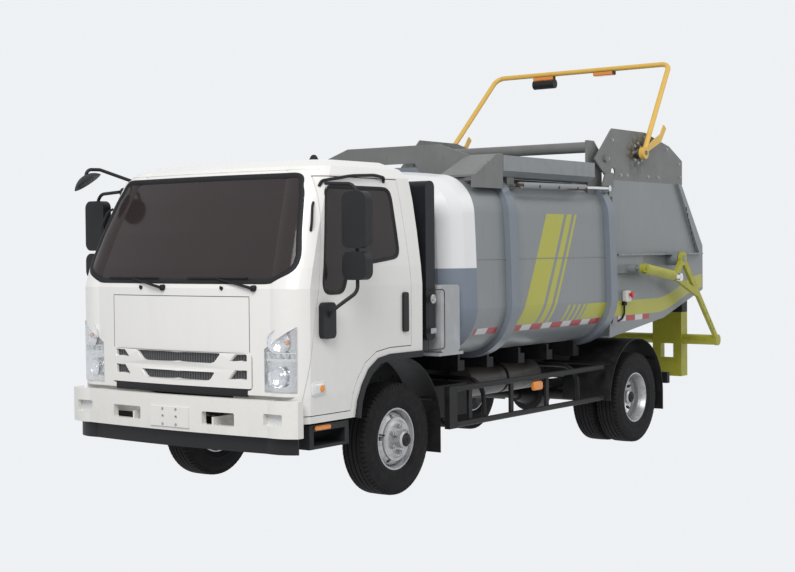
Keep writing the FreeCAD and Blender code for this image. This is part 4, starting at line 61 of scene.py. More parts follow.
# Finishes
class Sock:
    """A shader value; sums and products on it add Math nodes."""

    def __init__(self, paint, socket):
        self.paint, self.socket = paint, socket

    def __add__(self, other):
        return self.paint.maths("ADD", self, other)

    def __sub__(self, other):
        return self.paint.maths("SUBTRACT", self, other)

    def __rsub__(self, other):
        return self.paint.maths("SUBTRACT", other, self)

    def __mul__(self, other):
        return self.paint.maths("MULTIPLY", self, other)

    def __abs__(self):
        return self.paint.maths("ABSOLUTE", self)

    __radd__, __rmul__ = __add__, __mul__

    def least(self, other):
        return self.paint.maths("MINIMUM", self, other)

    def most(self, other):
        return self.paint.maths("MAXIMUM", self, other)

    def rest_of(self, step):
        """What is left of it after whole steps, from 0 to the step."""
        return self.paint.maths("FLOORED_MODULO", self, step)

    def over(self, low, high):
        """0 below low, 1 above high, smooth between; the other way round if low is higher."""
        node = self.paint.node("MapRange", {"interpolation_type": "SMOOTHSTEP"}, Value=self,
                               From_Min=low, From_Max=high)
        return Sock(self.paint, node.outputs[0])

    def inside(self, low, high, soft=0.0015):
        return self.over(low - soft, low + soft) * self.over(high + soft, high - soft)


class Paint:
    """One finish, mixed layer by layer on the row's own coordinates."""

    def __init__(self, name, colour, rough, **fixed):
        self.material = bpy.data.materials.new(name)
        self.material.use_nodes = True
        self.tree = self.material.node_tree
        self.shader = self.tree.nodes["Principled BSDF"]
        self.colour, self.rough, self.normal = colour, rough, None
        for socket, value in fixed.items():
            self.feed(self.shader.inputs[socket.replace("_", " ")], value)
        self.place = self.node("TexCoord").outputs["Object"]
        parts = self.node("SeparateXYZ", Vector=self.place)
        self.x, self.y, self.z = (Sock(self, parts.outputs[axis]) for axis in "XYZ")

    def feed(self, socket, value):
        if isinstance(value, Sock):
            value = value.socket
        if isinstance(value, bpy.types.NodeSocket):
            self.tree.links.new(value, socket)
        elif isinstance(value, tuple) and socket.type == "RGBA":
            socket.default_value = value + (1.0,)
        else:
            socket.default_value = value

    def node(self, kind, settings=None, **sockets):
        """Any node: its settings first, then the values or links of its sockets."""
        made = self.tree.nodes.new("ShaderNode" + kind)
        for name, value in (settings or {}).items():
            setattr(made, name, value)
        for name, value in sockets.items():
            self.feed(made.inputs[name.replace("_", " ")], value)
        return made

    def maths(self, operation, *values):
        made = self.node("Math", {"operation": operation})
        for socket, value in zip(made.inputs, values):
            self.feed(socket, value)
        return Sock(self, made.outputs[0])

    def mix(self, share, first, second):
        made = self.node("Mix", {"data_type": "RGBA"})
        for index, value in ((0, share), (6, first), (7, second)):
            self.feed(made.inputs[index], value)
        return made.outputs[2]

    def grain(self, scale, stretch=(1, 1, 1), detail=3.0):
        """Noise from 0 to 1, stretched along the axes."""
        mapping = self.node("Mapping", Vector=self.place, Scale=stretch)
        made = self.node("TexNoise", Vector=mapping.outputs[0], Scale=scale, Detail=detail)
        return Sock(self, made.outputs["Fac"])

    def cells(self, scale):
        made = self.node("TexVoronoi", Vector=self.place, Scale=scale)
        return Sock(self, made.outputs["Distance"])

    def away(self, across, up, x, y):
        """How far the point (across, up) lies from (x, y)."""
        return self.maths("POWER", (across - x) * (across - x) + (up - y) * (up - y), 0.5)

    def marble(self, scale, low, high, detail=6):
        """Patches where the noise runs from low to high."""
        return self.grain(scale, detail=detail).over(low, high)

    def coat(self, share, colour, rough=None):
        """A layer over what there is, where share is 1."""
        self.colour = self.mix(share, self.colour, colour)
        if rough is not None:
            self.rough = share * rough + (1 - share) * self.rough
        return self

    def relief(self, height, depth, strength=1.0):
        """Bumps of a depth in metres, over those there are."""
        sockets = {"Height": height, "Distance": depth, "Strength": strength}
        if self.normal:
            sockets["Normal"] = self.normal
        self.normal = self.node("Bump", **sockets).outputs[0]
        return self

    def dust(self, reach=0.9, amount=0.35, colour=(0.30, 0.27, 0.22)):
        """Road dust that thins out upwards, and dull drift marks."""
        fall = self.z.over(reach, 0.05) * amount
        return self.coat(fall * self.marble(9, 0.32, 0.72), colour, 0.75)

    def done(self):
        self.feed(self.shader.inputs["Base Color"], self.colour)
        self.feed(self.shader.inputs["Roughness"], self.rough)
        if self.normal:
            self.feed(self.shader.inputs["Normal"], self.normal)
        return self.material


PANEL_EDGE, PANEL_LOW, PANEL_TOP, CAB_FRONT = 0.618, 1.042, 1.398, -2.88


def cab_white():
    """Gloss white with the seams of the front panel drawn in."""
    paint = Paint("cab_white", WHITE, 0.24, Coat_Weight=0.35, Coat_Roughness=0.08)
    streaks = paint.grain(16, (1, 1, 0.12), detail=4).over(0.45, 0.8)
    paint.coat(streaks * 0.10, (0.62, 0.60, 0.56), 0.42)
    front = paint.y.over(CAB_FRONT + 0.02, CAB_FRONT - 0.02)
    side = abs(paint.x) - PANEL_EDGE
    upright = abs(side).over(0.0030, 0.0016) * paint.z.inside(PANEL_LOW, PANEL_TOP)
    level = abs(paint.z - PANEL_TOP).over(0.0030, 0.0016) * side.over(0.001, -0.001)
    seams = upright.most(level) * front
    paint.coat(seams, (0.05, 0.05, 0.05), 0.7)
    paint.relief(1 - seams, 0.002)
    paint.relief(paint.grain(420, detail=1), 0.00006)
    return paint.dust(1.25, 0.16).done()


def stained(name, colour, rough, patches, share, stain, stain_rough, grain=None, dust=None, **fixed):
    """One layer of stain in patches, a fine grain of (scale, detail, depth), and dust."""
    paint = Paint(name, colour, rough, **fixed)
    paint.coat(paint.marble(*patches) * share, stain, stain_rough)
    if grain:
        scale, detail, depth = grain
        paint.relief(paint.grain(scale, detail=detail), depth)
    if dust:
        paint.dust(*dust)
    return paint.done()


BAND_FOOT, BAND_LEAN = 1.10, 0.52


def leaning(paint):
    """The station at the foot of the leaning line through each point."""
    return paint.y - (paint.z - BAND_FOOT) * BAND_LEAN + MIDDLE


def low_band(paint):
    """The level band low on the sides: ticks that run into a full band, carried on to the gate."""
    run = leaning(paint)
    ticks = run.rest_of(0.085).inside(0.0, 0.034) * run.inside(2.10, 2.42)
    rising = paint.z - (paint.y + MIDDLE).over(3.85, 4.85) * 0.20
    low = (run.over(2.438, 2.441) + ticks).least(1.0) * rising.inside(1.105, 1.232)
    return low * (paint.y + MIDDLE).over(4.83, 4.82)


def warning_tape(paint):
    """Red and white blocks of tape along the lower side: the two shares, red then white."""
    blocks = (paint.y + 0.145).rest_of(0.315)
    strip = paint.z.inside(1.056, 1.102) * abs(paint.x).over(0.7, 0.75)
    run = paint.y + MIDDLE
    strip = strip * run.inside(1.40, 2.80).most(run.inside(0.882, 1.197)).most(run.inside(3.10, 3.712))
    return strip * blocks.inside(0.002, 0.163), strip * blocks.inside(0.170, 0.310)


def slanted_bands(paint):
    """Plain slanted bands on the container's sides."""
    run = leaning(paint)
    bands = run.inside(1.44, 1.72).most(run.inside(1.765, 1.845)).most(run.inside(1.89, 1.925))
    return bands * paint.z.inside(1.105, 2.205) * abs(paint.x).over(0.5, 0.55)


def circle_through(first, middle, last):
    """Centre and radius of the circle through three points of a flat section."""
    (ax, ay), (bx, by), (cx, cy) = first, middle, last
    share = 2 * (ax * (by - cy) + bx * (cy - ay) + cx * (ay - by))
    squares = [x * x + y * y for x, y in (first, middle, last)]
    x = (squares[0] * (by - cy) + squares[1] * (cy - ay) + squares[2] * (ay - by)) / share
    y = (squares[0] * (cx - bx) + squares[1] * (ax - cx) + squares[2] * (bx - ax)) / share
    return x, y, math.hypot(ax - x, ay - y)


# The container's section in metres: each arc's two ends and a point between, low, side and shoulder
SECTION_ARCS = [
    ((0.720, 0.905), (0.9482, 1.0292), (1.046, 1.250)),
    ((1.046, 1.250), (1.0376, 1.605), (1.022, 1.960)),
    ((1.022, 1.960), (0.93744, 2.14678), (0.720, 2.243)),
]
GATE_MIDWALL, WALL_MIDDLE, GATE_FRONT = 0.997, 0.005, 2.953


def outer_skin(paint):
    """1 on the outside of the container's and the gate's walls, 0 on their inside."""
    beside = abs(paint.x)
    on_gate = (paint.y + MIDDLE).over(GATE_FRONT - 0.001, GATE_FRONT + 0.001)
    skin = beside.over(GATE_MIDWALL - 0.001, GATE_MIDWALL + 0.001) * on_gate
    for first, middle, last in SECTION_ARCS:
        x, z, radius = circle_through(first, middle, last)
        away = paint.away(beside, paint.z, x, z)
        zone = paint.z.inside(first[1], last[1]) * (1 - on_gate)
        depth = radius - WALL_MIDDLE
        skin = skin.most(away.over(depth - 0.001, depth + 0.001) * zone)
    return skin


def shell_grey(name, livery="", colour=GREY):
    paint = Paint(name, colour, 0.33, Coat_Weight=0.12, Coat_Roughness=0.2)
    sheen = paint.grain(2.4, detail=4)
    paint.coat(sheen.over(0.35, 0.75) * 0.22, tuple(part * 1.28 for part in colour))
    runs = paint.grain(30, (1, 1, 0.06), detail=4).over(0.55, 0.8)
    paint.coat(runs * 0.20, (0.12, 0.12, 0.115), 0.6)
    if livery:
        skin = outer_skin(paint)
        paint.coat(low_band(paint) * skin * 0.96, STRIPE, 0.36)
        if livery == "slanted":
            paint.coat(slanted_bands(paint) * skin * 0.96, STRIPE, 0.36)
        red, white = (share * skin for share in warning_tape(paint))
        paint.coat(white, (0.62, 0.62, 0.62), 0.3)
        paint.coat(red, RED, 0.3)
        paint.relief(red.most(white), 0.0006)
    paint.relief(paint.grain(1.7, detail=2), 0.012, 0.35)
    paint.relief(paint.grain(260, detail=1), 0.00008)
    return paint.dust(1.25, 0.30).done()


def dish_paint():
    paint = Paint("dish_paint", BLUE_GREY, 0.38)
    paint.coat(paint.marble(3, 0.4, 0.8, detail=4) * 0.25, (0.22, 0.25, 0.29))
    upper = paint.z.over(1.548, 1.552)
    paint.coat(upper, (0.74, 0.74, 0.74), 0.32)
    paint.relief(paint.grain(1.9, detail=2), 0.010, 0.3)
    return paint.dust(1.2, 0.25).done()


def plate_grey():
    """Grey of the head plates, greasy round the pins and spotted with rust."""
    paint = Paint("plate_grey", (0.150, 0.157, 0.150), 0.42)
    paint.coat(paint.marble(6, 0.4, 0.75, detail=5) * 0.35, (0.215, 0.222, 0.215))
    away = paint.away(paint.y + MIDDLE, paint.z, 3.47, 2.50)
    grease = away.over(0.26, 0.07) * paint.marble(18, 0.30, 0.62)
    paint.coat(grease, (0.022, 0.018, 0.012), 0.30)
    paint.coat(paint.grain(34, (1, 1, 0.2), detail=5).over(0.64, 0.74) * 0.6, (0.16, 0.065, 0.03), 0.85)
    paint.relief(paint.grain(80, detail=3), 0.0005)
    return paint.done()


def worn_paint(name, colour, rough=0.42, wear=0.5, bare=(0.10, 0.085, 0.07), grime=0.4):
    """Working paint: sound on the flats, chipped in patches and grimy."""
    paint = Paint(name, colour, rough)
    paint.coat(paint.marble(11, 0.42, 0.80) * grime, tuple(part * 0.55 for part in colour), 0.62)
    chips = paint.marble(55, 0.665, 0.70) * wear
    paint.coat(chips, bare, 0.8)
    paint.relief(paint.grain(150, detail=3) - chips * 0.5, 0.0004)
    return paint.done()


def moulded(name, colour, rough, grain=900):
    """Grained plastic."""
    paint = Paint(name, colour, rough, Specular_IOR_Level=0.25)
    shine = tuple(part * 1.8 for part in colour)
    paint.coat(paint.marble(7, 0.45, 0.8, detail=4) * 0.3, shine, rough + 0.1)
    paint.relief(paint.cells(grain), 0.00025)
    return paint.done()


def bare_steel(name, colour, rough, rust):
    return stained(name, colour, rough, (30, 0.45, 0.75), rust, (0.10, 0.055, 0.03), 0.85,
                   (220, 3, 0.0003), Metallic=0.8)


def chrome():
    paint = Paint("ram_chrome", (0.72, 0.73, 0.74), 0.12, Metallic=1.0)
    paint.coat(paint.grain(60, (0.2, 1, 1), detail=4).over(0.5, 0.8) * 0.3, (0.35, 0.33, 0.30), 0.35)
    return paint.done()


def window_glass():
    """Dark tinted glass that lets a little of the cab through."""
    paint = Paint("window_glass", (0.034, 0.026, 0.026), 0.10, Alpha=0.93, Specular_IOR_Level=0.25)
    paint.coat(paint.marble(2.0, 0.2, 0.9, detail=2) * 0.35, (0.042, 0.033, 0.033))
    paint.rough = 0.06 + paint.grain(90, detail=2) * 0.08
    return paint.done()


def clear_lens(colour=(0.86, 0.88, 0.90), alpha=0.10):
    """A lamp's moulded cover: see-through straight on, glossy at a slant."""
    paint = Paint("clear_lens", colour, 0.05, Specular_IOR_Level=0.7)
    slant = Sock(paint, paint.node("LayerWeight", Blend=0.35).outputs["Facing"])
    flutes = (paint.x + paint.y).rest_of(0.012).over(0.0, 0.012)
    paint.feed(paint.shader.inputs["Alpha"], (slant * 0.55 + alpha).least(1.0))
    paint.coat(paint.grain(40, detail=3) * 0.2, tuple(part * 0.6 for part in colour), 0.12)
    paint.relief(flutes, 0.00014)
    return paint.done()


def solid_lens(name, colour):
    """A coloured lamp cover with flutes moulded into it."""
    paint = Paint(name, colour, 0.16, Coat_Weight=0.5, Coat_Roughness=0.05)
    paint.relief((paint.x + paint.y).rest_of(0.010).over(0.0, 0.010), 0.0008)
    paint.coat(paint.cells(220).over(0.1, 0.6) * 0.35, tuple(min(1.0, part * 1.7) for part in colour))
    return paint.done()


def reflector():
    paint = Paint("lamp_reflector", (0.82, 0.83, 0.85), 0.09, Metallic=1.0)
    paint.relief(paint.cells(46), 0.004, 0.5)
    paint.coat(paint.grain(50, detail=2) * 0.25, (0.55, 0.57, 0.60), 0.2)
    return paint.done()


def seat_cloth():
    paint = Paint("seat_cloth", (0.055, 0.058, 0.065), 0.85, Sheen_Weight=0.3)
    weave = paint.x.rest_of(0.004).over(0.0, 0.004) * paint.y.rest_of(0.004).over(0.0, 0.004)
    paint.coat(weave * 0.5, (0.11, 0.115, 0.125))
    paint.coat(paint.marble(40, 0.4, 0.7, detail=4) * 0.3, (0.035, 0.036, 0.04))
    paint.relief(weave, 0.0006)
    return paint.done()


def mesh_black():
    """The dark slotted screen behind the grille's bars."""
    paint = Paint("grille_mesh", (0.018, 0.018, 0.020), 0.5)
    bars = paint.x.rest_of(0.022).inside(0.003, 0.015, 0.001)
    paint.coat(bars, (0.075, 0.077, 0.082), 0.45)
    paint.coat(paint.marble(30, 0.5, 0.8, detail=4) * 0.4, (0.10, 0.095, 0.085), 0.8)
    paint.relief(bars, 0.004)
    return paint.done()


finishes = {
    "white": cab_white(),
    "bumper": stained("bumper_white", (0.77, 0.755, 0.72), 0.34, (22, 0.5, 0.75, 5), 0.12, (0.55, 0.52, 0.46),
                      0.6, (300, 1, 0.00008), (0.80, 0.30), Coat_Weight=0.15),
    "grey": shell_grey("shell_grey"),
    "livery": shell_grey("shell_livery", livery="slanted"),
    "gate": shell_grey("gate_grey", livery="level"),
    "ribs": shell_grey("rib_grey", colour=(0.175, 0.200, 0.232)),
    "dish": dish_paint(),
    "plates": plate_grey(),
    "covers": worn_paint("cover_grey", (0.245, 0.262, 0.272), wear=0.25, bare=(0.14, 0.06, 0.03), grime=0.3),
    "green": worn_paint("arm_green", ARM_GREEN, wear=0.6),
    "hoop": worn_paint("hoop_yellow", HOOP, rough=0.36, wear=0.15, grime=0.15),
    "black": stained("chassis_black", BLACK, 0.5, (14, 0.42, 0.8), 0.4, (0.030, 0.028, 0.026), 0.72,
                     (90, 3, 0.0005), (0.95, 0.12, (0.10, 0.09, 0.075)), Specular_IOR_Level=0.25),
    "plastic": moulded("black_plastic", (0.014, 0.0145, 0.016), 0.5),
    "seal": moulded("seal_rubber", (0.010, 0.010, 0.011), 0.62, 400),
    "locker": moulded("locker_grey", (0.40, 0.41, 0.42), 0.5, 700),
    "duct": moulded("duct_black", (0.008, 0.009, 0.012), 0.42, 500),
    "rubber": stained("tyre_rubber", RUBBER, 0.8, (20, 0.40, 0.75), 0.5, (0.030, 0.028, 0.025), 0.9,
                      (240, 3, 0.0004), Specular_IOR_Level=0.2),
    "wheel": stained("wheel_silver", (0.50, 0.50, 0.51), 0.30, (26, 0.42, 0.78), 0.45, (0.20, 0.185, 0.165),
                     0.6, (120, 3, 0.0003), Metallic=0.55),
    "nuts": bare_steel("nut_steel", (0.42, 0.42, 0.42), 0.34, 0.35),
    "iron": bare_steel("cast_iron", (0.030, 0.029, 0.028), 0.6, 0.6),
    "rust": bare_steel("rusty_rod", (0.10, 0.055, 0.035), 0.7, 0.9),
    "chrome": chrome(),
    "glass": window_glass(),
    "clear": clear_lens(),
    "amber": solid_lens("amber_lens", AMBER),
    "red": solid_lens("red_lens", (0.45, 0.012, 0.012)),
    "frost": solid_lens("frosted_lens", (0.62, 0.63, 0.62)),
    "mirror": reflector(),
    "cloth": seat_cloth(),
    "mesh": mesh_black(),
    "tank": worn_paint("tank_paint", (0.050, 0.045, 0.040), wear=0.2, grime=0.5),
    "looking": stained("looking_glass", (0.80, 0.81, 0.83), 0.03, (12, 0.45, 0.8, 5), 0.2,
                       (0.55, 0.55, 0.54), 0.25, Metallic=1.0),
}

wearing = {
    "white": "cab_shell door_left door_right grille",
    "bumper": "bumper",
    "livery": "container_sides container_floor",
    "grey": "container_roof lifting_eyes",
    "gate": "tailgate_skin tailgate_sides",
    "ribs": "container_ribs",
    "dish": "container_front",
    "plates": "head_plates front_hood hinge_brackets",
    "covers": "side_covers gate_ram_barrels",
    "green": "lift_arms lift_ram_barrels",
    "hoop": "hoop",
    "black": "frame axles side_guards subframe mudguards battery_box",
    "plastic": "cab_trim mirror_left mirror_right valance tail_lamps hoop_lamps",
    "locker": "locker",
    "duct": "intake_duct cab_inside",
    "rubber": "front_tyre_left front_tyre_right rear_tyre_left rear_tyre_right",
    "wheel": "front_wheel_left front_wheel_right rear_wheel_left rear_wheel_right",
    "iron": "engine_block knuckle_left knuckle_right",
    "tank": "chassis_tanks",
    "chrome": "gate_ram_rods lift_ram_rods",
    "glass": "cab_glass door_glass_left door_glass_right",
    "frost": "headlamps fog_lamps",
}
for finish, names in wearing.items():
    for name in names.split():
        mesh = nodes[name].data
        mesh.materials.clear()
        mesh.materials.append(finishes[finish])


# Shapes
RAY_START = 3.0  # how far before its point a ray sets off
OUTER_FACE, RIM_STEP = 0.35, 0.018


def merged(name):
    """A node's own mesh with its loose triangles joined."""
    work = bmesh.new()
    work.from_mesh(nodes[name].data)
    bmesh.ops.remove_doubles(work, verts=work.verts, dist=0.0002)
    work.normal_update()
    return work


def skin_of(*names):
    """What a ray meets on these nodes."""
    corners, sides = [], []
    for name in names:
        mesh = nodes[name].data
        start = len(corners)
        corners += [vertex.co.copy() for vertex in mesh.vertices]
        sides += [[start + index for index in polygon.vertices] for polygon in mesh.polygons]
    return BVHTree.FromPolygons(corners, sides)


def meet(skin, point, way):
    """Where a ray that runs along way through point first meets the skin, and the outward normal."""
    way = Vector(way).normalized()
    place, normal = skin.ray_cast(point - way * RAY_START, way)[:2]
    if place is None:
        return point, -way
    return place, (normal if normal.dot(way) < 0 else -normal)


def evenly(loop, step):
    """Points spaced evenly along a closed line."""
    line = list(loop) + [loop[0]]
    lengths = [(b - a).length for a, b in zip(line, line[1:])]
    count = max(8, round(sum(lengths) / step))
    points, run, index = [], 0.0, 0
    for number in range(count):
        want = sum(lengths) * number / count
        while index < len(lengths) - 1 and run + lengths[index] < want:
            run += lengths[index]
            index += 1
        share = (want - run) / max(lengths[index], 1e-9)
        points.append(line[index].lerp(line[index + 1], min(max(share, 0.0), 1.0)))
    return points


def rims_of(name, facing):
    """The outlines of a node's outer face, eased, each as even points with outward normals."""
    facing = Vector(facing).normalized()
    work = merged(name)
    kept = [face for face in work.faces if face.normal.dot(facing) > OUTER_FACE]
    inside = set(kept)
    onward = {}
    for face in kept:
        for loop in face.loops:
            others = [other for other in loop.edge.link_faces if other is not face]
            if not others or others[0] not in inside:
                following = loop.link_loop_next.vert.index
                onward[loop.vert.index] = (following, loop.vert.co.copy(), face.normal.copy())
    loops = []
    while onward:
        start = next(iter(onward))
        line, normals, key = [], [], start
        while key in onward:
            key, place, normal = onward.pop(key)
            line.append(place)
            normals.append(normal)
        if len(line) > 3:
            loops.append((line, normals))
    work.free()
    result = []
    for line, normals in loops:
        if sum((b - a).length for a, b in zip(line, line[1:])) < 0.15:
            continue
        points = evenly(line, RIM_STEP)
        for turn in range(4):
            after = points[1:] + points[:1]
            points = [(points[i - 1] + points[i] * 2 + after[i]) / 4 for i in range(len(points))]
        faced = [normals[min(range(len(line)), key=lambda i: (line[i] - point).length)] for point in points]
        result.append((points, faced))
    return result


class Mould:
    """The mesh of one piece while it's being made."""

    def __init__(self, mesh=None):
        self.mesh = bmesh.new() if mesh is None else mesh

    def skin(self, loops, closed=True, ring=False):
        """Joins loops of the same count; ring joins the last to the first, else both ends are filled."""
        rows = [[self.mesh.verts.new(point) for point in loop] for loop in loops]
        count = len(rows[0])
        pairs = list(zip(rows, rows[1:])) + ([(rows[-1], rows[0])] if ring else [])
        for low, high in pairs:
            for index in range(count if closed else count - 1):
                onward = (index + 1) % count
                self.mesh.faces.new((low[index], low[onward], high[onward], high[index]))
        if not ring:
            self.mesh.faces.new(rows[0][::-1])
            self.mesh.faces.new(rows[-1])
        return self

    def tube(self, points, radius, sides=10):
        """A round bar along points; radius may be one number or one for each point."""
        radii = radius if isinstance(radius, (list, tuple)) else [radius] * len(points)
        side, loops = None, []
        for index, point in enumerate(points):
            along = (points[min(index + 1, len(points) - 1)] - points[max(index - 1, 0)]).normalized()
            if side is None:
                side = along.orthogonal().normalized()
            side = (side - along * side.dot(along)).normalized()
            up = along.cross(side)
            loops.append([point + (side * math.cos(turn) + up * math.sin(turn)) * radii[index]
                          for turn in (2 * math.pi * step / sides for step in range(sides))])
        return self.skin(loops)

    def lathe(self, profile, centre, axis, steps, closed=False):
        """Turns (along, radius) pairs about an axis; closed joins the profile's ends."""
        axis = Vector(axis).normalized()
        side = axis.orthogonal().normalized()
        up = axis.cross(side)
        rows = []
        for step in range(steps):
            turn = 2 * math.pi * step / steps
            out = side * math.cos(turn) + up * math.sin(turn)
            rows.append([centre + axis * along + out * radius for along, radius in profile])
        return self.skin(rows, closed=closed, ring=True)

    def block(self, low, high, soft=0.003, steps=2):
        """A box with its edges rounded."""
        made = bmesh.ops.create_cube(self.mesh, size=1.0)["verts"]
        low, high = Vector(low), Vector(high)
        for vert in made:
            vert.co = Vector((low[i] + high[i]) / 2 + vert.co[i] * (high[i] - low[i]) for i in range(3))
        edges = list({edge for vert in made for edge in vert.link_edges})
        bmesh.ops.bevel(self.mesh, geom=edges, offset=soft, segments=steps, affect="EDGES",
                        clamp_overlap=True)
        return self

    def beside(self, sign, across, stations, heights, soft=0.003, steps=2):
        """A rounded box on one side of the truck, between pairs of drawing measures."""
        near, far = sorted(sign * x for x in across)
        return self.block(at(near, stations[0], heights[0]), at(far, stations[1], heights[1]), soft, steps)

    def trim(self, rim, section):
        """A section of (outwards, proud) pairs run round a rim on a surface."""
        points, normals = rim
        count = len(points)
        loops = []
        for index in range(count):
            along = (points[(index + 1) % count] - points[index - 1]).normalized()
            normal = (normals[index - 1] + normals[index] + normals[(index + 1) % count]).normalized()
            out = along.cross(normal).normalized()
            loops.append([points[index] + out * wide + normal * proud for wide, proud in section])
        return self.skin(loops, ring=True)

    def piece(self, name, body, finish="seal", slot="black_plastic", angle=35, wall=0.0):
        """The finished object, riding on its body."""
        bmesh.ops.remove_doubles(self.mesh, verts=self.mesh.verts, dist=0.00002)
        bmesh.ops.recalc_face_normals(self.mesh, faces=self.mesh.faces)
        if wall:
            bmesh.ops.solidify(self.mesh, geom=self.mesh.faces[:], thickness=wall)
        return dressed(self.plain(name), name, body, finish, angle)

    def plain(self, name):
        """The mesh as plain data; the mould is used up."""
        data = bpy.data.meshes.new(name)
        self.mesh.to_mesh(data)
        self.mesh.free()
        return data


def dressed(data, name, body, finish, angle=35):
    """Names, finishes and hangs a plain mesh on its body."""
    data.name = name
    data.shade_smooth()
    data.set_sharp_from_angle(angle=math.radians(angle))
    data.materials.clear()
    data.materials.append(finishes[finish])
    made = bpy.data.objects.new(name, data)
    bpy.context.scene.collection.objects.link(made)
    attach(made, body)
    return made


def evaluated(thing):
    """The mesh of an object with its modifiers worked out, as plain data."""
    graph = bpy.context.evaluated_depsgraph_get()
    return bpy.data.meshes.new_from_object(thing.evaluated_get(graph), depsgraph=graph)


def arc_line(points, radius, steps=6):
    """A stiff rod's line: straight runs with rounded bends."""
    line = [points[0]]
    for before, corner, after in zip(points, points[1:], points[2:]):
        back, onward = (before - corner), (after - corner)
        cut = min(radius, back.length * 0.45, onward.length * 0.45)
        start, end = corner + back.normalized() * cut, corner + onward.normalized() * cut
        for step in range(steps + 1):
            t = step / steps
            line.append(start * (1 - t) ** 2 + corner * 2 * t * (1 - t) + end * t ** 2)
    return line + [points[-1]]


# Trees of geometry nodes for what repeats
class Tree:
    """A geometry tree with named inputs, run on a seed mesh and turned into a plain one."""

    def __init__(self, name, inputs):
        self.tree = bpy.data.node_groups.new(name, "GeometryNodeTree")
        face = self.tree.interface
        face.new_socket("Geometry", in_out="INPUT", socket_type="NodeSocketGeometry")
        self.named = {}
        for label, kind in inputs.items():
            socket = face.new_socket(label, in_out="INPUT", socket_type="NodeSocket" + kind)
            self.named[label] = socket.identifier
        face.new_socket("Geometry", in_out="OUTPUT", socket_type="NodeSocketGeometry")
        self.start = self.tree.nodes.new("NodeGroupInput")
        self.end = self.tree.nodes.new("NodeGroupOutput")

    def node(self, kind, settings=None, **sockets):
        made = self.tree.nodes.new(kind)
        for name, value in (settings or {}).items():
            setattr(made, name, value)
        for name, value in sockets.items():
            self.join(value, made.inputs[name.replace("_", " ")])
        return made

    def join(self, value, socket):
        if isinstance(value, bpy.types.NodeSocket):
            self.tree.links.new(value, socket)
        else:
            socket.default_value = value

    def maths(self, operation, first, second):
        made = self.node("ShaderNodeMath", {"operation": operation})
        self.join(first, made.inputs[0])
        self.join(second, made.inputs[1])
        return made.outputs[0]

    def close(self, instances):
        real = self.node("GeometryNodeRealizeInstances", Geometry=instances)
        final = self.node("GeometryNodeSetMaterial", Geometry=real.outputs[0],
                          Material=self.start.outputs["Finish"])
        self.join(final.outputs[0], self.end.inputs[0])
        return self

    def run(self, seed, finish, **values):
        """The tree's result on a seed mesh, as plain mesh data."""
        holder = bpy.data.objects.new("seed", seed)
        bpy.context.scene.collection.objects.link(holder)
        modifier = holder.modifiers.new("tree", "NODES")
        modifier.node_group = self.tree
        modifier[self.named["Finish"]] = finishes[finish]
        for label, value in values.items():
            modifier[self.named[label.replace("_", " ")]] = value
        data = evaluated(holder)
        holder.modifiers.remove(modifier)
        bpy.data.objects.remove(holder)
        return data


def round_axle_tree():
    """Copies of the seed set evenly round the X axis."""
    tree = Tree("round_axle", {"Finish": "Material", "Count": "Int"})
    line = tree.node("GeometryNodeMeshLine", Count=tree.start.outputs["Count"], Offset=(0, 0, 0))
    share = tree.maths("DIVIDE", tree.node("GeometryNodeInputIndex").outputs[0], tree.start.outputs["Count"])
    spin = tree.node("ShaderNodeCombineXYZ", X=tree.maths("MULTIPLY", share, 2 * math.pi))
    copies = tree.node("GeometryNodeInstanceOnPoints", Points=line.outputs[0], Instance=tree.start.outputs[0],
                       Rotation=spin.outputs[0])
    return tree.close(copies.outputs[0])


def bolt_tree():
    """A head on a washer at each point, square to the point's facing."""
    tree = Tree("bolts", {"Finish": "Material", "Across": "Float", "Height": "Float", "Corners": "Int"})
    start = tree.start.outputs

    def share_of(label, share):
        return tree.maths("MULTIPLY", start[label], share)

    head = tree.node("GeometryNodeMeshCylinder", Vertices=start["Corners"], Radius=share_of("Across", 0.5),
                     Depth=start["Height"])
    washer = tree.node("GeometryNodeMeshCylinder", Vertices=14, Radius=share_of("Across", 0.72),
                       Depth=share_of("Height", 0.30))
    lift = tree.node("ShaderNodeCombineXYZ", Z=share_of("Height", 0.55))
    raised = tree.node("GeometryNodeTransform", Geometry=head.outputs[0], Translation=lift.outputs[0])
    both = tree.node("GeometryNodeJoinGeometry")
    tree.join(raised.outputs[0], both.inputs[0])
    tree.join(washer.outputs[0], both.inputs[0])
    facing = tree.node("GeometryNodeInputNamedAttribute", {"data_type": "FLOAT_VECTOR"}, Name="facing")
    turned = tree.node("FunctionNodeAlignRotationToVector", {"axis": "Z"}, Vector=facing.outputs[0])
    copies = tree.node("GeometryNodeInstanceOnPoints", Points=start["Geometry"], Instance=both.outputs[0],
                       Rotation=turned.outputs[0])
    return tree.close(copies.outputs[0])


round_axle, bolts = round_axle_tree(), bolt_tree()


def fasteners(name, body, spots, across=0.019, height=0.009, finish="nuts", corners=6):
    """Bolt heads at (place, facing) spots, made in one piece."""
    seed = bpy.data.meshes.new("spots")
    seed.from_pydata([place for place, facing in spots], [], [])
    layer = seed.attributes.new("facing", "FLOAT_VECTOR", "POINT")
    for index, (place, facing) in enumerate(spots):
        layer.data[index].vector = facing
    data = bolts.run(seed, finish, Across=across, Height=height, Corners=corners)
    return dressed(data, name, body, finish, 30)


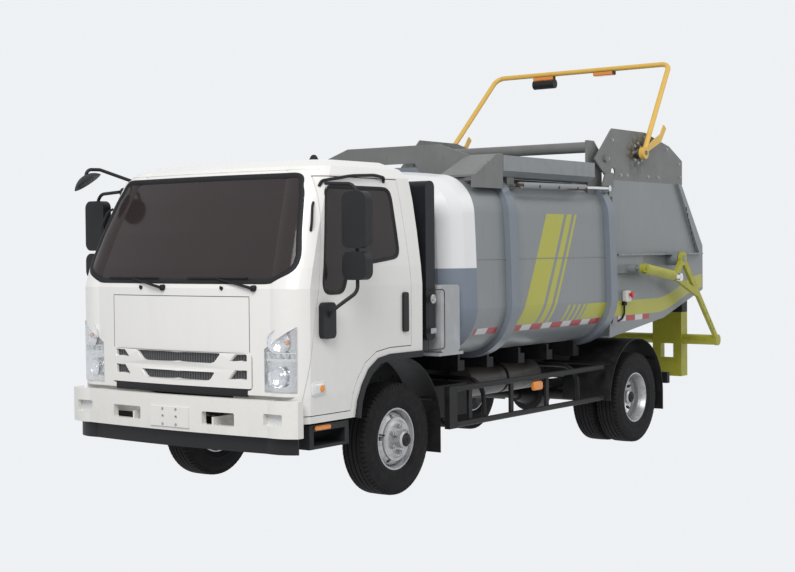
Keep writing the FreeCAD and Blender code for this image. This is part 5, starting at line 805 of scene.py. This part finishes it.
# Wheels and tyres
AXLE_HIGH, REAR_AXLE, TWIN_GAP = 388, 3360, 232
NUTS_OUT, CAP_OUT, VALVE_OUT = (-91, 105), (44.5, 173.5), (-40, 62)  # past the wheel's middle: rear, front
WHEELS = [("front_left", 1, 835, 0, "left_front_wheel"),
          ("front_right", -1, 835, 0, "right_front_wheel"),
          ("rear_left", 1, 955, REAR_AXLE, "left_rear_wheels"),
          ("rear_right", -1, 955, REAR_AXLE, "right_rear_wheels")]


def tyre_profile():
    """Half section from bead to crown, with side rings and three grooves, mirrored."""
    half = [(0.0752, 0.2050), (0.0835, 0.2120), (0.0905, 0.2170), (0.0930, 0.2260), (0.0975, 0.2380),
            (0.1000, 0.2520), (0.1012, 0.2540), (0.1004, 0.2560), (0.1020, 0.2800), (0.1021, 0.3000),
            (0.1012, 0.3180), (0.1004, 0.3230), (0.1016, 0.3245), (0.1008, 0.3262), (0.0978, 0.3440),
            (0.0935, 0.3600), (0.0868, 0.3745), (0.0700, 0.3768), (0.0655, 0.3770), (0.0625, 0.3858),
            (0.0420, 0.3872), (0.0400, 0.3775), (0.0340, 0.3775), (0.0320, 0.3876), (0.0055, 0.3880),
            (0.0035, 0.3785)]
    return half + [(-along, radius) for along, radius in reversed(half)]


LUGS, SIPES, LUG_SKEW, NUTS, NUT_RING = 68, 48, 0.010 / 0.09, 6, 0.0885


def shoulder_lug():
    """One shoulder block on each side of the tread, at the top of the wheel."""
    mould = Mould()
    for sign in (1, -1):
        section = [(0.0668, 0.3770), (0.0668, 0.3868), (0.0850, 0.3836), (0.0925, 0.3740), (0.0962, 0.3560),
                   (0.0940, 0.3480), (0.0850, 0.3700)]
        loops = []
        for turn, draw in ((-0.043, 0.0016), (-0.039, 0.0), (0.028, 0.0), (0.032, 0.0016)):
            loops.append([Vector((sign * along, -(radius - draw) * math.sin(turn + LUG_SKEW * along),
                                  (radius - draw) * math.cos(turn + LUG_SKEW * along)))
                          for along, radius in section])
        mould.skin(loops)
    bmesh.ops.recalc_face_normals(mould.mesh, faces=mould.mesh.faces)
    return mould.plain("lug")


def centre_sipe():
    """A short raised bar in each outer groove, at the top of the wheel."""
    mould = Mould()
    for sign in (1, -1):
        middle = sign * 0.037
        mould.block((middle - 0.0036, -0.004, 0.3768), (middle + 0.0036, 0.004, 0.3815), 0.0008, 1)
    return mould.plain("sipe")


def add_mesh(mould, data, shift):
    """Puts plain mesh data into a mould, moved by shift."""
    copied = data.copy()
    copied.transform(Matrix.Translation(shift))
    mould.mesh.from_mesh(copied)


for label, side, track, station, body in WHEELS:
    front = station == 0
    lugs = round_axle.run(shoulder_lug(), "rubber", Count=LUGS)
    sipes = round_axle.run(centre_sipe(), "rubber", Count=SIPES)
    mould = Mould()
    for shift in ([0] if front else [0, -TWIN_GAP]):
        hub = at(side * (track + shift), station, AXLE_HIGH)
        mould.lathe(tyre_profile(), hub, (1, 0, 0), steps=72, closed=True)
        add_mesh(mould, lugs, hub)
        add_mesh(mould, sipes, hub)
    tyre = mould.piece("tyre_" + label, body, "rubber", "tread_rubber", 40)
    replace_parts(tyre, label.replace("_", "_tyre_"))

    nut = Mould().lathe([(0, 0.0), (0, 0.0205), (0.003, 0.0205), (0.0035, 0.0165), (0.021, 0.0158),
                         (0.025, 0.0125), (0.025, 0.0095), (0.033, 0.0088), (0.034, 0.0)],
                        Vector((0, 0, NUT_RING)), (side, 0, 0), steps=6)
    bmesh.ops.remove_doubles(nut.mesh, verts=nut.mesh.verts, dist=0.0002)
    bmesh.ops.recalc_face_normals(nut.mesh, faces=nut.mesh.faces)
    ring = round_axle.run(nut.plain("nut"), "nuts", Count=NUTS)
    ring.transform(Matrix.Translation(at(side * (track + NUTS_OUT[front]), station, AXLE_HIGH)))
    dressed(ring, "wheel_nuts_" + label, body, "nuts", 30)

    cap = Mould().lathe([(-0.004, 0.047), (0.0, 0.047), (0.002, 0.040), (0.010, 0.036), (0.012, 0.012),
                         (0.017, 0.011), (0.017, 0.0)],
                        at(side * (track + CAP_OUT[front]), station, AXLE_HIGH), (side, 0, 0), steps=32)
    cap.piece("hub_cap_" + label, body, "iron", "iron", 30)
    base = at(side * (track + VALVE_OUT[front]), station - 168, AXLE_HIGH + 45)
    bend, tip = base + Vector((side * 0.022, 0.0, 0)), base + Vector((side * 0.034, 0.022, -0.006))
    stem = Mould().tube(arc_line([base, bend, tip], 0.01), [0.0042] * 8 + [0.0055], sides=8)
    stem.piece("valve_stem_" + label, body)


# Cab
cab_skin = skin_of("cab_shell", "door_left", "door_right", "cab_glass", "door_glass_left",
                   "door_glass_right", "headlamps")
LAMP_FRONT, BEFORE_CAB, BACKWARDS = -1180, -3.1, (0, 1, 0)
BROAD = [(-0.024, -0.001), (-0.022, 0.0035), (-0.006, 0.0085), (0.008, 0.0105), (0.014, 0.0085),
         (0.015, 0.002), (0.0, -0.003)]
NARROW = [(-0.016, -0.001), (-0.014, 0.003), (0.0, 0.008), (0.009, 0.0085), (0.011, 0.003), (0.0, -0.003)]
GASKETS = [  # glass, the way it faces, name, body, section, and the span of Y in which its middle lies
    ("cab_glass", (0, -1, 0.25), "screen_gasket", "cab", BROAD, -4.0, -2.0),
    ("cab_glass", (0, 1, 0.1), "rear_window_gasket", "cab", BROAD, -1.75, 0.0),
    ("door_glass_left", (1, 0, 0.1), "window_gasket_left", "left_door", NARROW, -4.0, 0.0),
    ("door_glass_right", (-1, 0, 0.1), "window_gasket_right", "right_door", NARROW, -4.0, 0.0),
]
for glass, facing, name, body, section, near, far in GASKETS:
    for number, rim in enumerate(rims_of(glass, facing)):
        if near < sum(point.y for point in rim[0]) / len(rim[0]) < far:
            gasket = Mould().trim(rim, section)
            gasket.piece("%s_%d" % (name, number), body, angle=50)


def part_of(work, wanted):
    """A mould of the faces of a mesh that are wanted."""
    mould = Mould(work.copy())
    dropped = [face for face in mould.mesh.faces if not wanted(face)]
    bmesh.ops.delete(mould.mesh, geom=dropped, context="FACES")
    return mould


def along_skin(places, way, lift=0.0, skin=cab_skin):
    """Points of a drawing line dropped on the skin, lifted off it, with their normals."""
    dropped = [meet(skin, place, way) for place in places]
    return [place + normal * lift for place, normal in dropped], [normal for place, normal in dropped]


BOWL_DEEP, FACING_OUT = 0.012, 0.25
for side, sign in SIDES:
    outer = Vector((sign * 0.6, -0.8, 0))
    lamp_body = part_of(merged("headlamps"), lambda face: face.calc_center_median().x * sign >= 0).mesh
    shell = part_of(lamp_body, lambda face: face.normal.dot(outer) > FACING_OUT)
    bucket = part_of(lamp_body, lambda face: face.normal.dot(outer) <= FACING_OUT)
    shell.piece("headlamp_lens_" + side, "cab", "clear", "clear_lamp", 40, wall=0.0025)
    bucket = bucket.piece("headlamp_bucket_" + side, "cab", "chrome", "clear_lamp", 30)
    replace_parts(bucket, "headlamps")

    bowls = Mould()
    for x, z, radius, deep, lean in ((852, 1118, 0.078, 0.034, 0.42), (840, 893, 0.066, 0.032, 0.35)):
        way = Vector((sign * lean, -1, 0)).normalized()
        middle = meet(cab_skin, at(sign * x, LAMP_FRONT, z), BACKWARDS)[0] - way * BOWL_DEEP
        bowls.lathe([(0.0, radius), (-0.004, radius * 0.97), (-deep * 0.5, radius * 0.74),
                     (-deep * 0.85, radius * 0.42), (-deep, radius * 0.16), (-deep, 0.0)],
                    middle, way, steps=36)
        bowls.lathe([(-deep, radius * 0.2), (-deep * 0.45, radius * 0.2), (-deep * 0.2, radius * 0.13),
                     (-deep * 0.15, 0.0)], middle, way, steps=20)
    bowls.piece("headlamp_bowls_" + side, "cab", "mirror", "rod_chrome", 40, wall=0.0012)

    bar = Mould()
    for z, tall in ((1003, 0.008), (1046, 0.004)):
        line = along_skin([at(sign * x, LAMP_FRONT, z) for x in range(752, 987, 18)], BACKWARDS)
        bar.skin([[point + normal * proud + Vector((0, 0, up)) for proud, up in
                   ((-0.004, -tall), (-0.004, tall), (-0.030, tall), (-0.030, -tall))]
                  for point, normal in zip(*line)])
    line = along_skin([at(sign * x, LAMP_FRONT, 1024) for x in range(765, 950, 46)], BACKWARDS)
    for point, normal in zip(*line):
        inner = point - normal * 0.014
        bar.block(inner - Vector((0.004, 0.010, 0.018)), inner + Vector((0.004, 0.010, 0.018)), 0.0015)
    bar.piece("headlamp_bars_" + side, "cab", "frost", "clear_lamp", 40)

    place, normal = meet(cab_skin, at(sign * 905, LAMP_FRONT, 1112), BACKWARDS)
    bulb = Mould().lathe([(-0.016, 0.0), (-0.014, 0.010), (-0.004, 0.015), (0.006, 0.013), (0.012, 0.006),
                          (0.013, 0.0)], place - normal * 0.022, (sign * 0.3, -1, 0), steps=20)
    bulb.piece("turn_bulb_" + side, "cab", "amber", "amber_lamp", 40)

    outline = arc_line([at(0, station, z) for station, z in
                        ((-1014, 852), (-900, 856), (-892, 850), (-888, 790), (-896, 782), (-1006, 774),
                         (-1016, 782), (-1018, 846))], 0.010)
    rim = along_skin([Vector((sign * 1.2, p.y, p.z)) for p in outline], (-sign, 0, 0))
    if sign < 0:
        rim = (rim[0][::-1], rim[1][::-1])
    marker = Mould().trim(rim, [(-0.003, 0.0), (-0.001, 0.007), (0.003, 0.007), (0.006, 0.0)])
    marker.piece("marker_rim_" + side, side + "_door", "frost", "clear_lamp", 40)
    middle = sum(rim[0], Vector()) / len(rim[0])
    loops = [[middle + (p - middle) * scale + Vector((sign * out, 0, 0)) for p in rim[0]]
             for scale, out in ((0.98, 0.001), (0.92, 0.0065), (0.6, 0.009), (0.2, 0.0098))]
    Mould().skin(loops).piece("marker_lens_" + side, side + "_door", "frost", "clear_lamp", 60)
    amber = Mould().lathe([(0.0, 0.024), (0.0105, 0.022), (0.0125, 0.012), (0.013, 0.0)],
                          at(sign * 1017, -925, 816), (sign, 0, 0), steps=24)
    amber.piece("marker_amber_" + side, side + "_door", "amber", "amber_lamp", 60)

    path = [meet(cab_skin, at(sign * 1300, station, z), (-sign, 0, 0))[0] + Vector((sign * lift, 0, 0))
            for station, z, lift in ((-800, 2100, 0.0), (-785, 2136, 0.022), (-520, 2176, 0.026),
                                     (-250, 2190, 0.026), (-150, 2176, 0.022), (-135, 2146, 0.0))]
    rail = Mould().tube(arc_line(path, 0.04), 0.0105)
    rail.piece("gutter_rail_" + side, side + "_door")

    path = []
    for station, z, lift in ((-1000, 1995, 0.002), (-1018, 1960, 0.030), (-1050, 1850, 0.030),
                             (-1062, 1812, 0.002)):
        place, normal = meet(cab_skin, at(sign * 1300, station, z), (-sign, 0.35, 0))
        path.append(place + normal * lift)
    handle = Mould().tube(arc_line(path, 0.02), 0.0085)
    handle.piece("pillar_handle_" + side, "cab")

# The cab's trim without its wipers, and wipers whose arms lean to the truck's right
WIPER_SPAN, WIPER_LOW, WIPER_FOOT, WIPER_TIP = 0.80, 1.35, 1.452, 1.512
trim_body = part_of(merged("cab_trim"), lambda face: abs(face.calc_center_median().x) >= WIPER_SPAN
                    or face.calc_center_median().z <= WIPER_LOW)
trim_body = trim_body.piece("cab_trim_body", "cab", "plastic", "black_plastic", 30)
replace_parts(trim_body, "cab_trim")
shell_skin = skin_of("cab_shell")
wipers = Mould()
for x in (-0.12, 0.658):
    foot = meet(shell_skin, Vector((x, BEFORE_CAB, WIPER_FOOT)), BACKWARDS)[0]
    wipers.lathe([(-0.006, 0.021), (0.018, 0.020), (0.024, 0.014), (0.026, 0.0)], foot, (0, -1, 0), steps=20)
    high = meet(cab_skin, Vector((x - 0.30, BEFORE_CAB, WIPER_TIP)), BACKWARDS)[0]
    wipers.tube([foot + Vector((0, -0.020, 0)), foot + Vector((-0.08, -0.026, 0.018)),
                 high + Vector((0, -0.024, 0))], [0.011, 0.009, 0.0055], sides=8)
    blade = [meet(cab_skin, Vector((x - 0.56 + 0.05 * step, BEFORE_CAB, WIPER_TIP + 0.004)), BACKWARDS)[0]
             + Vector((0, -0.015, 0)) for step in range(11)]
    wipers.tube(blade, 0.0055, sides=6)
wipers.piece("wipers", "cab", angle=40)

nozzles = Mould()
for x in (-332, 397):
    place, normal = meet(cab_skin, at(x, -1185, 1450), BACKWARDS)
    nozzles.lathe([(0.0, 0.013), (0.006, 0.012), (0.010, 0.008), (0.016, 0.0065), (0.019, 0.0)],
                  place, normal, steps=16)
    nozzles.block(place + Vector((-0.004, -0.018, 0.0)), place + Vector((0.004, -0.004, 0.016)), 0.002)
nozzles.piece("washer_nozzles", "cab")

place = meet(shell_skin, at(560, -420, 2600), (0, 0, -1))[0]
aerial = Mould().lathe([(-0.004, 0.045), (0.008, 0.043), (0.016, 0.030), (0.034, 0.022), (0.044, 0.012),
                        (0.046, 0.0)], place, (0, 0, 1), steps=24)
aerial.piece("roof_aerial", "cab", angle=50)

points = along_skin([at(x, LAMP_FRONT, 2216) for x in range(-860, 861, 40)], BACKWARDS, 0.001)[0]
Mould().tube(points, 0.0045, sides=6).piece("roof_front_seam", "cab", "white", "cab_paint", 60)

# Grille: a white panel with slanted slots over a dark screen, and the dark band under it
GRILLE_SLOTS = [
    [(-0.385, 1.032), (0.385, 1.032), (0.335, 0.975), (0.300, 0.965), (-0.300, 0.965), (-0.335, 0.975)],
    [(-0.335, 0.908), (0.335, 0.908), (0.300, 0.862), (0.275, 0.852), (-0.275, 0.852), (-0.300, 0.862)],
    [(0.505, 1.032), (0.600, 1.032), (0.600, 0.982), (0.455, 0.982)],
    [(0.500, 0.930), (0.600, 0.930), (0.600, 0.866), (0.445, 0.866)],
]
GRILLE_SLOTS += [[(-x, z) for x, z in reversed(slot)] for slot in GRILLE_SLOTS[2:]]
GRILLE_EDGE = [(-0.634, 0.812), (0.634, 0.812), (0.634, 1.038), (-0.634, 1.038)]
front_skin = skin_of("cab_shell", "cab_glass", "headlamps")


def on_front(x, z, proud):
    """A point of the cab's crowned front, proud of it."""
    place = meet(front_skin, Vector((x, BEFORE_CAB, 1.2)), BACKWARDS)[0]
    return Vector((x, place.y - proud, z))


def grille_panel():
    """The white panel: filled between its edge and its slots, with returns run inwards."""
    mould = Mould()
    rings = []
    for outline in [GRILLE_EDGE] + GRILLE_SLOTS:
        middle = (sum(x for x, z in outline) / len(outline), sum(z for x, z in outline) / len(outline))
        points = [(p.x, p.z) for p in evenly([Vector((x, 0, z)) for x, z in outline], 0.017)]
        rings.append(([mould.mesh.verts.new(on_front(x, z, 0.006)) for x, z in points], middle))
    edges = [mould.mesh.edges.new((ring[i], ring[(i + 1) % len(ring)])) for ring, middle in rings
             for i in range(len(ring))]
    bmesh.ops.triangle_fill(mould.mesh, use_beauty=True, use_dissolve=False, edges=edges)
    for number, (ring, middle) in enumerate(rings):
        before = ring
        for shrink, depth in ((0.005, 0.005), (0.008, 0.024)) if number else ((0.0, 0.004), (0.0, 0.016)):
            after = []
            for vert in ring:
                inward = Vector((middle[0] - vert.co.x, 0, middle[1] - vert.co.z)).normalized() * shrink
                after.append(mould.mesh.verts.new(vert.co + inward + Vector((0, depth, 0))))
            for i in range(len(ring)):
                j = (i + 1) % len(ring)
                mould.mesh.faces.new((before[i], before[j], after[j], after[i]))
            before = after
    return mould.piece("grille_panel", "cab", "white", "cab_paint", 28)


def front_strip(name, half, count, low, high, proud, finish):
    """A strip across the crowned front, between two heights."""
    loops = []
    for x in (-half + 2 * half * step / count for step in range(count + 1)):
        loops.append([on_front(x, z, out) for z, out in
                      ((low, proud), (high, proud), (high, proud - 0.010), (low, proud - 0.010))])
    Mould().skin(loops).piece(name, "cab", finish, "black_plastic", 30)


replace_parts(grille_panel(), "grille")
front_strip("grille_screen", 0.63, 42, 0.845, 1.034, -0.016, "mesh")
front_strip("front_recess", 0.60, 40, 0.760, 0.813, 0.0022, "plastic")

# Locker, duct and container fittings
side_skin = skin_of("container_sides", "container_floor", "container_roof", "container_front",
                    "container_ribs", "tailgate_sides", "tailgate_skin", "head_plates")
outline = evenly(arc_line([at(1010.3, station, z) for station, z in
                           ((268, 985), (472, 985), (472, 1405), (268, 1405), (268, 985))], 0.03), 0.012)
seal = Mould().trim((outline, [Vector((1, 0, 0))] * len(outline)),
                    [(-0.003, 0.0), (-0.002, 0.003), (0.002, 0.003), (0.003, 0.0)])
seal.piece("locker_seal", "chassis")
lock = Mould().lathe([(0.0, 0.032), (0.005, 0.032), (0.007, 0.027), (0.004, 0.025), (0.004, 0.014),
                      (0.011, 0.012), (0.012, 0.0)], at(1010, 330, 1341), (1, 0, 0), steps=28)
lock.piece("locker_lock", "chassis", "nuts", "rod_chrome", 30)
catch = Mould().beside(1, (1009, 1016), (300, 366), (1098, 1136))
catch.beside(1, (1014, 1020), (316, 350), (1106, 1126), 0.002)
catch.piece("locker_catch", "chassis", "locker", "grey_plastic")
duct = Mould()
for z in range(1900, 2116, 24):
    duct.beside(1, (953, 965), (292, 368), (z, z + 8), 0.002)
duct.piece("duct_louvres", "chassis", "duct", "black_plastic")


WELD_HEIGHT, WELD_STEP = 1612, 14


def weld(name, start, end, sign):
    """A bead of weld laid along the container's side, between two stations."""
    count = round((end - start) / WELD_STEP)
    points = along_skin([at(sign * 1500, start + (end - start) * step / count, WELD_HEIGHT)
                         for step in range(count + 1)], (-sign, 0, 0), 0.0004, side_skin)[0]
    bead = Mould().tube(points, [0.0032 + 0.0009 * (step % 2) for step in range(count + 1)], sides=6)
    bead.piece(name, "chassis", "grey", "body_grey", 60)


for side, sign in SIDES:
    weld("seam_front_%s_0" % side, 865, 1246, sign)
    weld("seam_%s_0" % side, 1370, 2826, sign)

    line = [at(sign * x, station, z) for x, station, z in
            ((1056, 1385, 2172), (1064, 1400, 2172), (1064, 2440, 2162), (1056, 2455, 2162))]
    conduit = Mould().tube(arc_line(line, 0.02), 0.009, sides=8)
    for station in (1400, 1700, 2000, 2300, 2440):
        conduit.beside(sign, (1042, 1078), (station - 12, station + 12), (2156, 2182))
    conduit.piece("cover_rod_" + side, "chassis", "rust", "tank_paint", 40)

    # Thin dark blocks along the rear rib: painted shade standing in for the shade inside the rib's slots, not
    # real parts
    slot_shades = Mould()
    for step in range(7):
        station, z = 4424 + 166 * step / 6, 2040 - 340 * step / 6
        slot_shades.beside(sign, (1032.5, 1035.5), (station - 6, station + 6), (z - 20, z + 20), 0.001)
    slot_shades.piece("rear_rib_slot_shades_" + side, "tailgate")

control = Mould().beside(1, (1001, 1052), (3196, 3282), (1222, 1318), 0.008, 3)
control.piece("control_box", "tailgate", "bumper", "cab_paint", 40)
knob = Mould().lathe([(0.0, 0.014), (0.016, 0.014), (0.018, 0.027), (0.030, 0.027), (0.035, 0.020),
                      (0.036, 0.0)], at(1052, 3248, 1282), (1, 0, 0), steps=28)
knob.piece("stop_knob", "tailgate", "red", "amber_lamp", 40)
cable = Mould().beside(1, (1001, 1030), (3186, 3240), (1190, 1224), 0.004)
cable.tube(arc_line([at(1015, 3212, 1192), at(1015, 3212, 1120), at(1008, 3180, 1075),
                     at(1000, 3120, 1060)], 0.04), 0.009, sides=8)
cable.piece("control_cable", "tailgate")

# Chassis fittings
for side, sign in SIDES:
    lamp = Mould().beside(sign, (1000, 1032), (1672, 1804), (585, 652), 0.008, 3)
    lamp.piece("side_marker_" + side, "chassis", "amber", "amber_lamp", 50)
    lamp = Mould().beside(sign, (981, 995), (-960, -800), (548, 578), 0.006, 3)
    lamp.piece("step_reflector_" + side, "cab", "amber", "amber_lamp", 50)
    for number, (near, far, finish) in enumerate(
            ((708, 800, "frost"), (804, 900, "amber"), (904, 997, "red"))):
        rear = Mould().beside(sign, (near, far), (4499, 4511), (1090, 1185), 0.006, 3)
        for ring in (0.040, 0.028):
            rear.lathe([(0.0, ring), (0.004, ring - 0.002), (0.004, ring - 0.006), (0.0, ring - 0.008)],
                       at(sign * (near + far) / 2, 4510, 1138), (0, 1, 0), steps=32)
        rear.piece("tail_lens_%s_%d" % (side, number), "tailgate", finish, "amber_lamp", 50)
    for number, (low, high) in enumerate(((1700, 2060), (1500, 1680))):
        top, foot = high - 12, low + 12
        outline = arc_line([at(sign * x, -727.5, z) for x, z in
                            ((1190, top), (1273, top), (1273, foot), (1107, foot), (1107, top), (1190, top))],
                           0.045, 8)
        middle = sum(outline, Vector()) / len(outline)
        loops = [[middle + (p - middle) * scale + Vector((0, out, 0)) for p in outline[:-1]]
                 for scale, out in ((1.0, -0.002), (1.0, 0.001), (0.97, 0.002), (0.5, 0.0024), (0.1, 0.0026))]
        pane = Mould().skin(loops)
        pane.piece("mirror_glass_%s_%d" % (side, number), side + "_door", "looking", "rod_chrome", 40)

for name, low, high in (("beacon_lens_left", 0.160, 0.362), ("beacon_lens_right", -0.502, -0.280)):
    pane = Mould().block((low, 2.4165, 3.318), (high, 2.4245, 3.350))
    pane.block((low, 2.4195, 3.3145), (high, 2.480, 3.3225))
    pane.piece(name, "hoop_frame", "amber", "amber_lamp", 40)

# Bolts
RAIL_SIDE, PLATE_SIDE, HOOP_RING, RING_BOLTS = 375, 1002, 84, 8
rail_spots = [(at(sign * RAIL_SIDE, station, z), Vector((sign, 0, 0))) for sign in (1, -1)
              for station in range(-940, 4151, 150) for z in (640, 740)]
fasteners("rail_rivets", "chassis", rail_spots, 0.018, 0.006, "black", 8)
plate_spots = []
for sign in (1, -1):
    ring = [2 * math.pi * turn / RING_BOLTS for turn in range(RING_BOLTS)]
    ring = [(3505 + HOOP_RING * math.cos(turn), 2512 + HOOP_RING * math.sin(turn)) for turn in ring]
    for station, z in (*ring, (2960, 2440), (3030, 2600), (3640, 2660), (4080, 2570), (4330, 2450),
                       (4350, 2330), (3900, 2310), (3700, 2310), (3300, 2310), (3180, 2310)):
        plate_spots.append((at(sign * PLATE_SIDE, station, z), Vector((sign, 0, 0))))
fasteners("head_plate_bolts", "tailgate", plate_spots, 0.024, 0.010, "nuts")
ledge_spots = [(at(sign * 1064, 3080 + step * 190, 1627), Vector((sign, 0, 0))) for sign in (1, -1)
               for step in range(9)]
fasteners("ledge_bolts", "tailgate", ledge_spots, 0.014, 0.006, "nuts")
bumper_skin = skin_of("bumper")
plate_marks = [(meet(bumper_skin, at(x, -1250, z), BACKWARDS)[0], Vector((0, -1, 0)))
               for x in (-60, 60) for z in (560, 660)]
fasteners("bracket_screws", "chassis", plate_marks, 0.014, 0.005, "nuts", 8)

# Cab seats and dashboard
FULLEST, PRESSURE, CLOTH_STEPS, CELL = 0.014, 4.0, 20, 0.012
GROOVES, GROOVE_DEPTH, GROOVE_WIDTH = (-0.11, 0.11), 0.006, 0.007


def soft_pad(name, low, high, lean=0.0):
    """A stuffed cushion: a rounded block blown up as cloth, held to its fullest, with sewn grooves."""
    data = Mould().block(low, high, 0.035, 3).plain(name)
    for vertex in data.vertices:
        vertex.co.y += (vertex.co.z - low.z) * lean
    pad = bpy.data.objects.new(name, data)
    bpy.context.scene.collection.objects.link(pad)
    remesh = pad.modifiers.new("even", "REMESH")
    remesh.mode, remesh.voxel_size = "VOXEL", CELL
    even = evaluated(pad)
    pad.modifiers.clear()
    pad.data = even
    start = [vertex.co.copy() for vertex in even.vertices]
    cloth = pad.modifiers.new("cloth", "CLOTH")
    cloth.settings.use_pressure = True
    cloth.settings.uniform_pressure_force = PRESSURE
    cloth.settings.effector_weights.gravity = 0.0
    cloth.settings.quality = 4
    for number in range(1, CLOTH_STEPS + 1):
        bpy.context.scene.frame_set(number)
    blown = evaluated(pad)
    pad.modifiers.clear()
    for vertex, home in zip(blown.vertices, start):
        move = vertex.co - home
        if move.length > FULLEST:
            vertex.co = home + move.normalized() * FULLEST
    pad.data = blown
    bpy.context.scene.frame_set(1)
    for vertex in pad.data.vertices:
        across = vertex.co.x - (low.x + high.x) / 2
        for groove in GROOVES:
            depth = GROOVE_DEPTH * math.exp(-((across - groove) / GROOVE_WIDTH) ** 2)
            vertex.co -= vertex.normal * depth
    finished = pad.data
    bpy.data.objects.remove(pad)
    dressed(finished, name, "cab", "cloth", 180)


DASH_REAR = -2.23
board = part_of(merged("cab_inside"), lambda face: face.calc_center_median().y <= DASH_REAR)
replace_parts(board.piece("dashboard", "cab", "duct", "black_plastic", 30), "cab_inside")
for name, x, width in (("driver", 560, 480), ("bench", -347, 816)):
    half = width / 2
    soft_pad(name + "_cushion", at(x - half + 14, -470, 1045), at(x + half - 14, -20, 1158))
    soft_pad(name + "_back", at(x - half + 14, -18, 1120), at(x + half - 14, 92, 1795), 0.129)


# Stage, light and camera
scene = bpy.context.scene
scene.view_settings.view_transform = "Standard"
world = bpy.data.worlds.new("studio")
scene.world = world
world.use_nodes = True
tree = world.node_tree
tree.nodes.clear()
rays = tree.nodes.new("ShaderNodeLightPath").outputs
blend = tree.nodes.new("ShaderNodeMixShader")
seen = rays["Is Camera Ray"]
for other in ("Is Glossy Ray", "Is Transmission Ray"):
    either = tree.nodes.new("ShaderNodeMath")
    either.operation = "MAXIMUM"
    tree.links.new(seen, either.inputs[0])
    tree.links.new(rays[other], either.inputs[1])
    seen = either.outputs[0]
tree.links.new(seen, blend.inputs["Fac"])
SKY_LIGHT, BACKDROP = ((0.95, 0.97, 1.0, 1.0), 0.50), ((0.86, 0.88, 0.90, 1.0), 1.0)
for number, (colour, strength) in enumerate((SKY_LIGHT, BACKDROP)):
    sky = tree.nodes.new("ShaderNodeBackground")
    sky.inputs["Color"].default_value = colour
    sky.inputs["Strength"].default_value = strength
    tree.links.new(sky.outputs[0], blend.inputs[1 + number])
tree.links.new(blend.outputs[0], tree.nodes.new("ShaderNodeOutputWorld").inputs["Surface"])


def lamp(name, place, aim, size, power):
    """A large soft light that looks at a point of the truck."""
    data = bpy.data.lights.new(name, "AREA")
    data.size = size
    data.energy = power
    made = bpy.data.objects.new(name, data)
    scene.collection.objects.link(made)
    made.location = place
    made.rotation_euler = (Vector(aim) - Vector(place)).to_track_quat("-Z", "Y").to_euler()


lamp("key_light", (4.0, -10.0, 8.5), (0.0, -0.5, 1.2), 6.0, 950.0)
lamp("side_light", (9.0, 4.0, 7.5), (0.0, 0.5, 1.2), 6.0, 200.0)

# The camera that was solved from the photograph: place, yaw, pitch and roll in degrees, and lens
CAMERA_PLACE, CAMERA_TURN = (6.839, -9.919, 1.695), (36.11, -1.46, -0.51)
FOCAL_LENGTH, SENSOR = 66.12, 36.0
view = bpy.data.cameras.new("photo_view")
view.lens, view.sensor_width = FOCAL_LENGTH, SENSOR
view.clip_end = 200.0
eye = bpy.data.objects.new("photo_view", view)
scene.collection.objects.link(eye)
yaw, pitch, roll = (math.radians(turn) for turn in CAMERA_TURN)
ahead = Vector((-math.sin(yaw) * math.cos(pitch), math.cos(yaw) * math.cos(pitch), math.sin(pitch)))
right = ahead.cross(Vector((0, 0, 1))).normalized()
up = right.cross(ahead)
right, up = right * math.cos(roll) + up * math.sin(roll), up * math.cos(roll) - right * math.sin(roll)
turn = Matrix((right, up, -ahead)).transposed().to_4x4()
eye.matrix_world = Matrix.Translation(CAMERA_PLACE) @ turn
scene.camera = eye
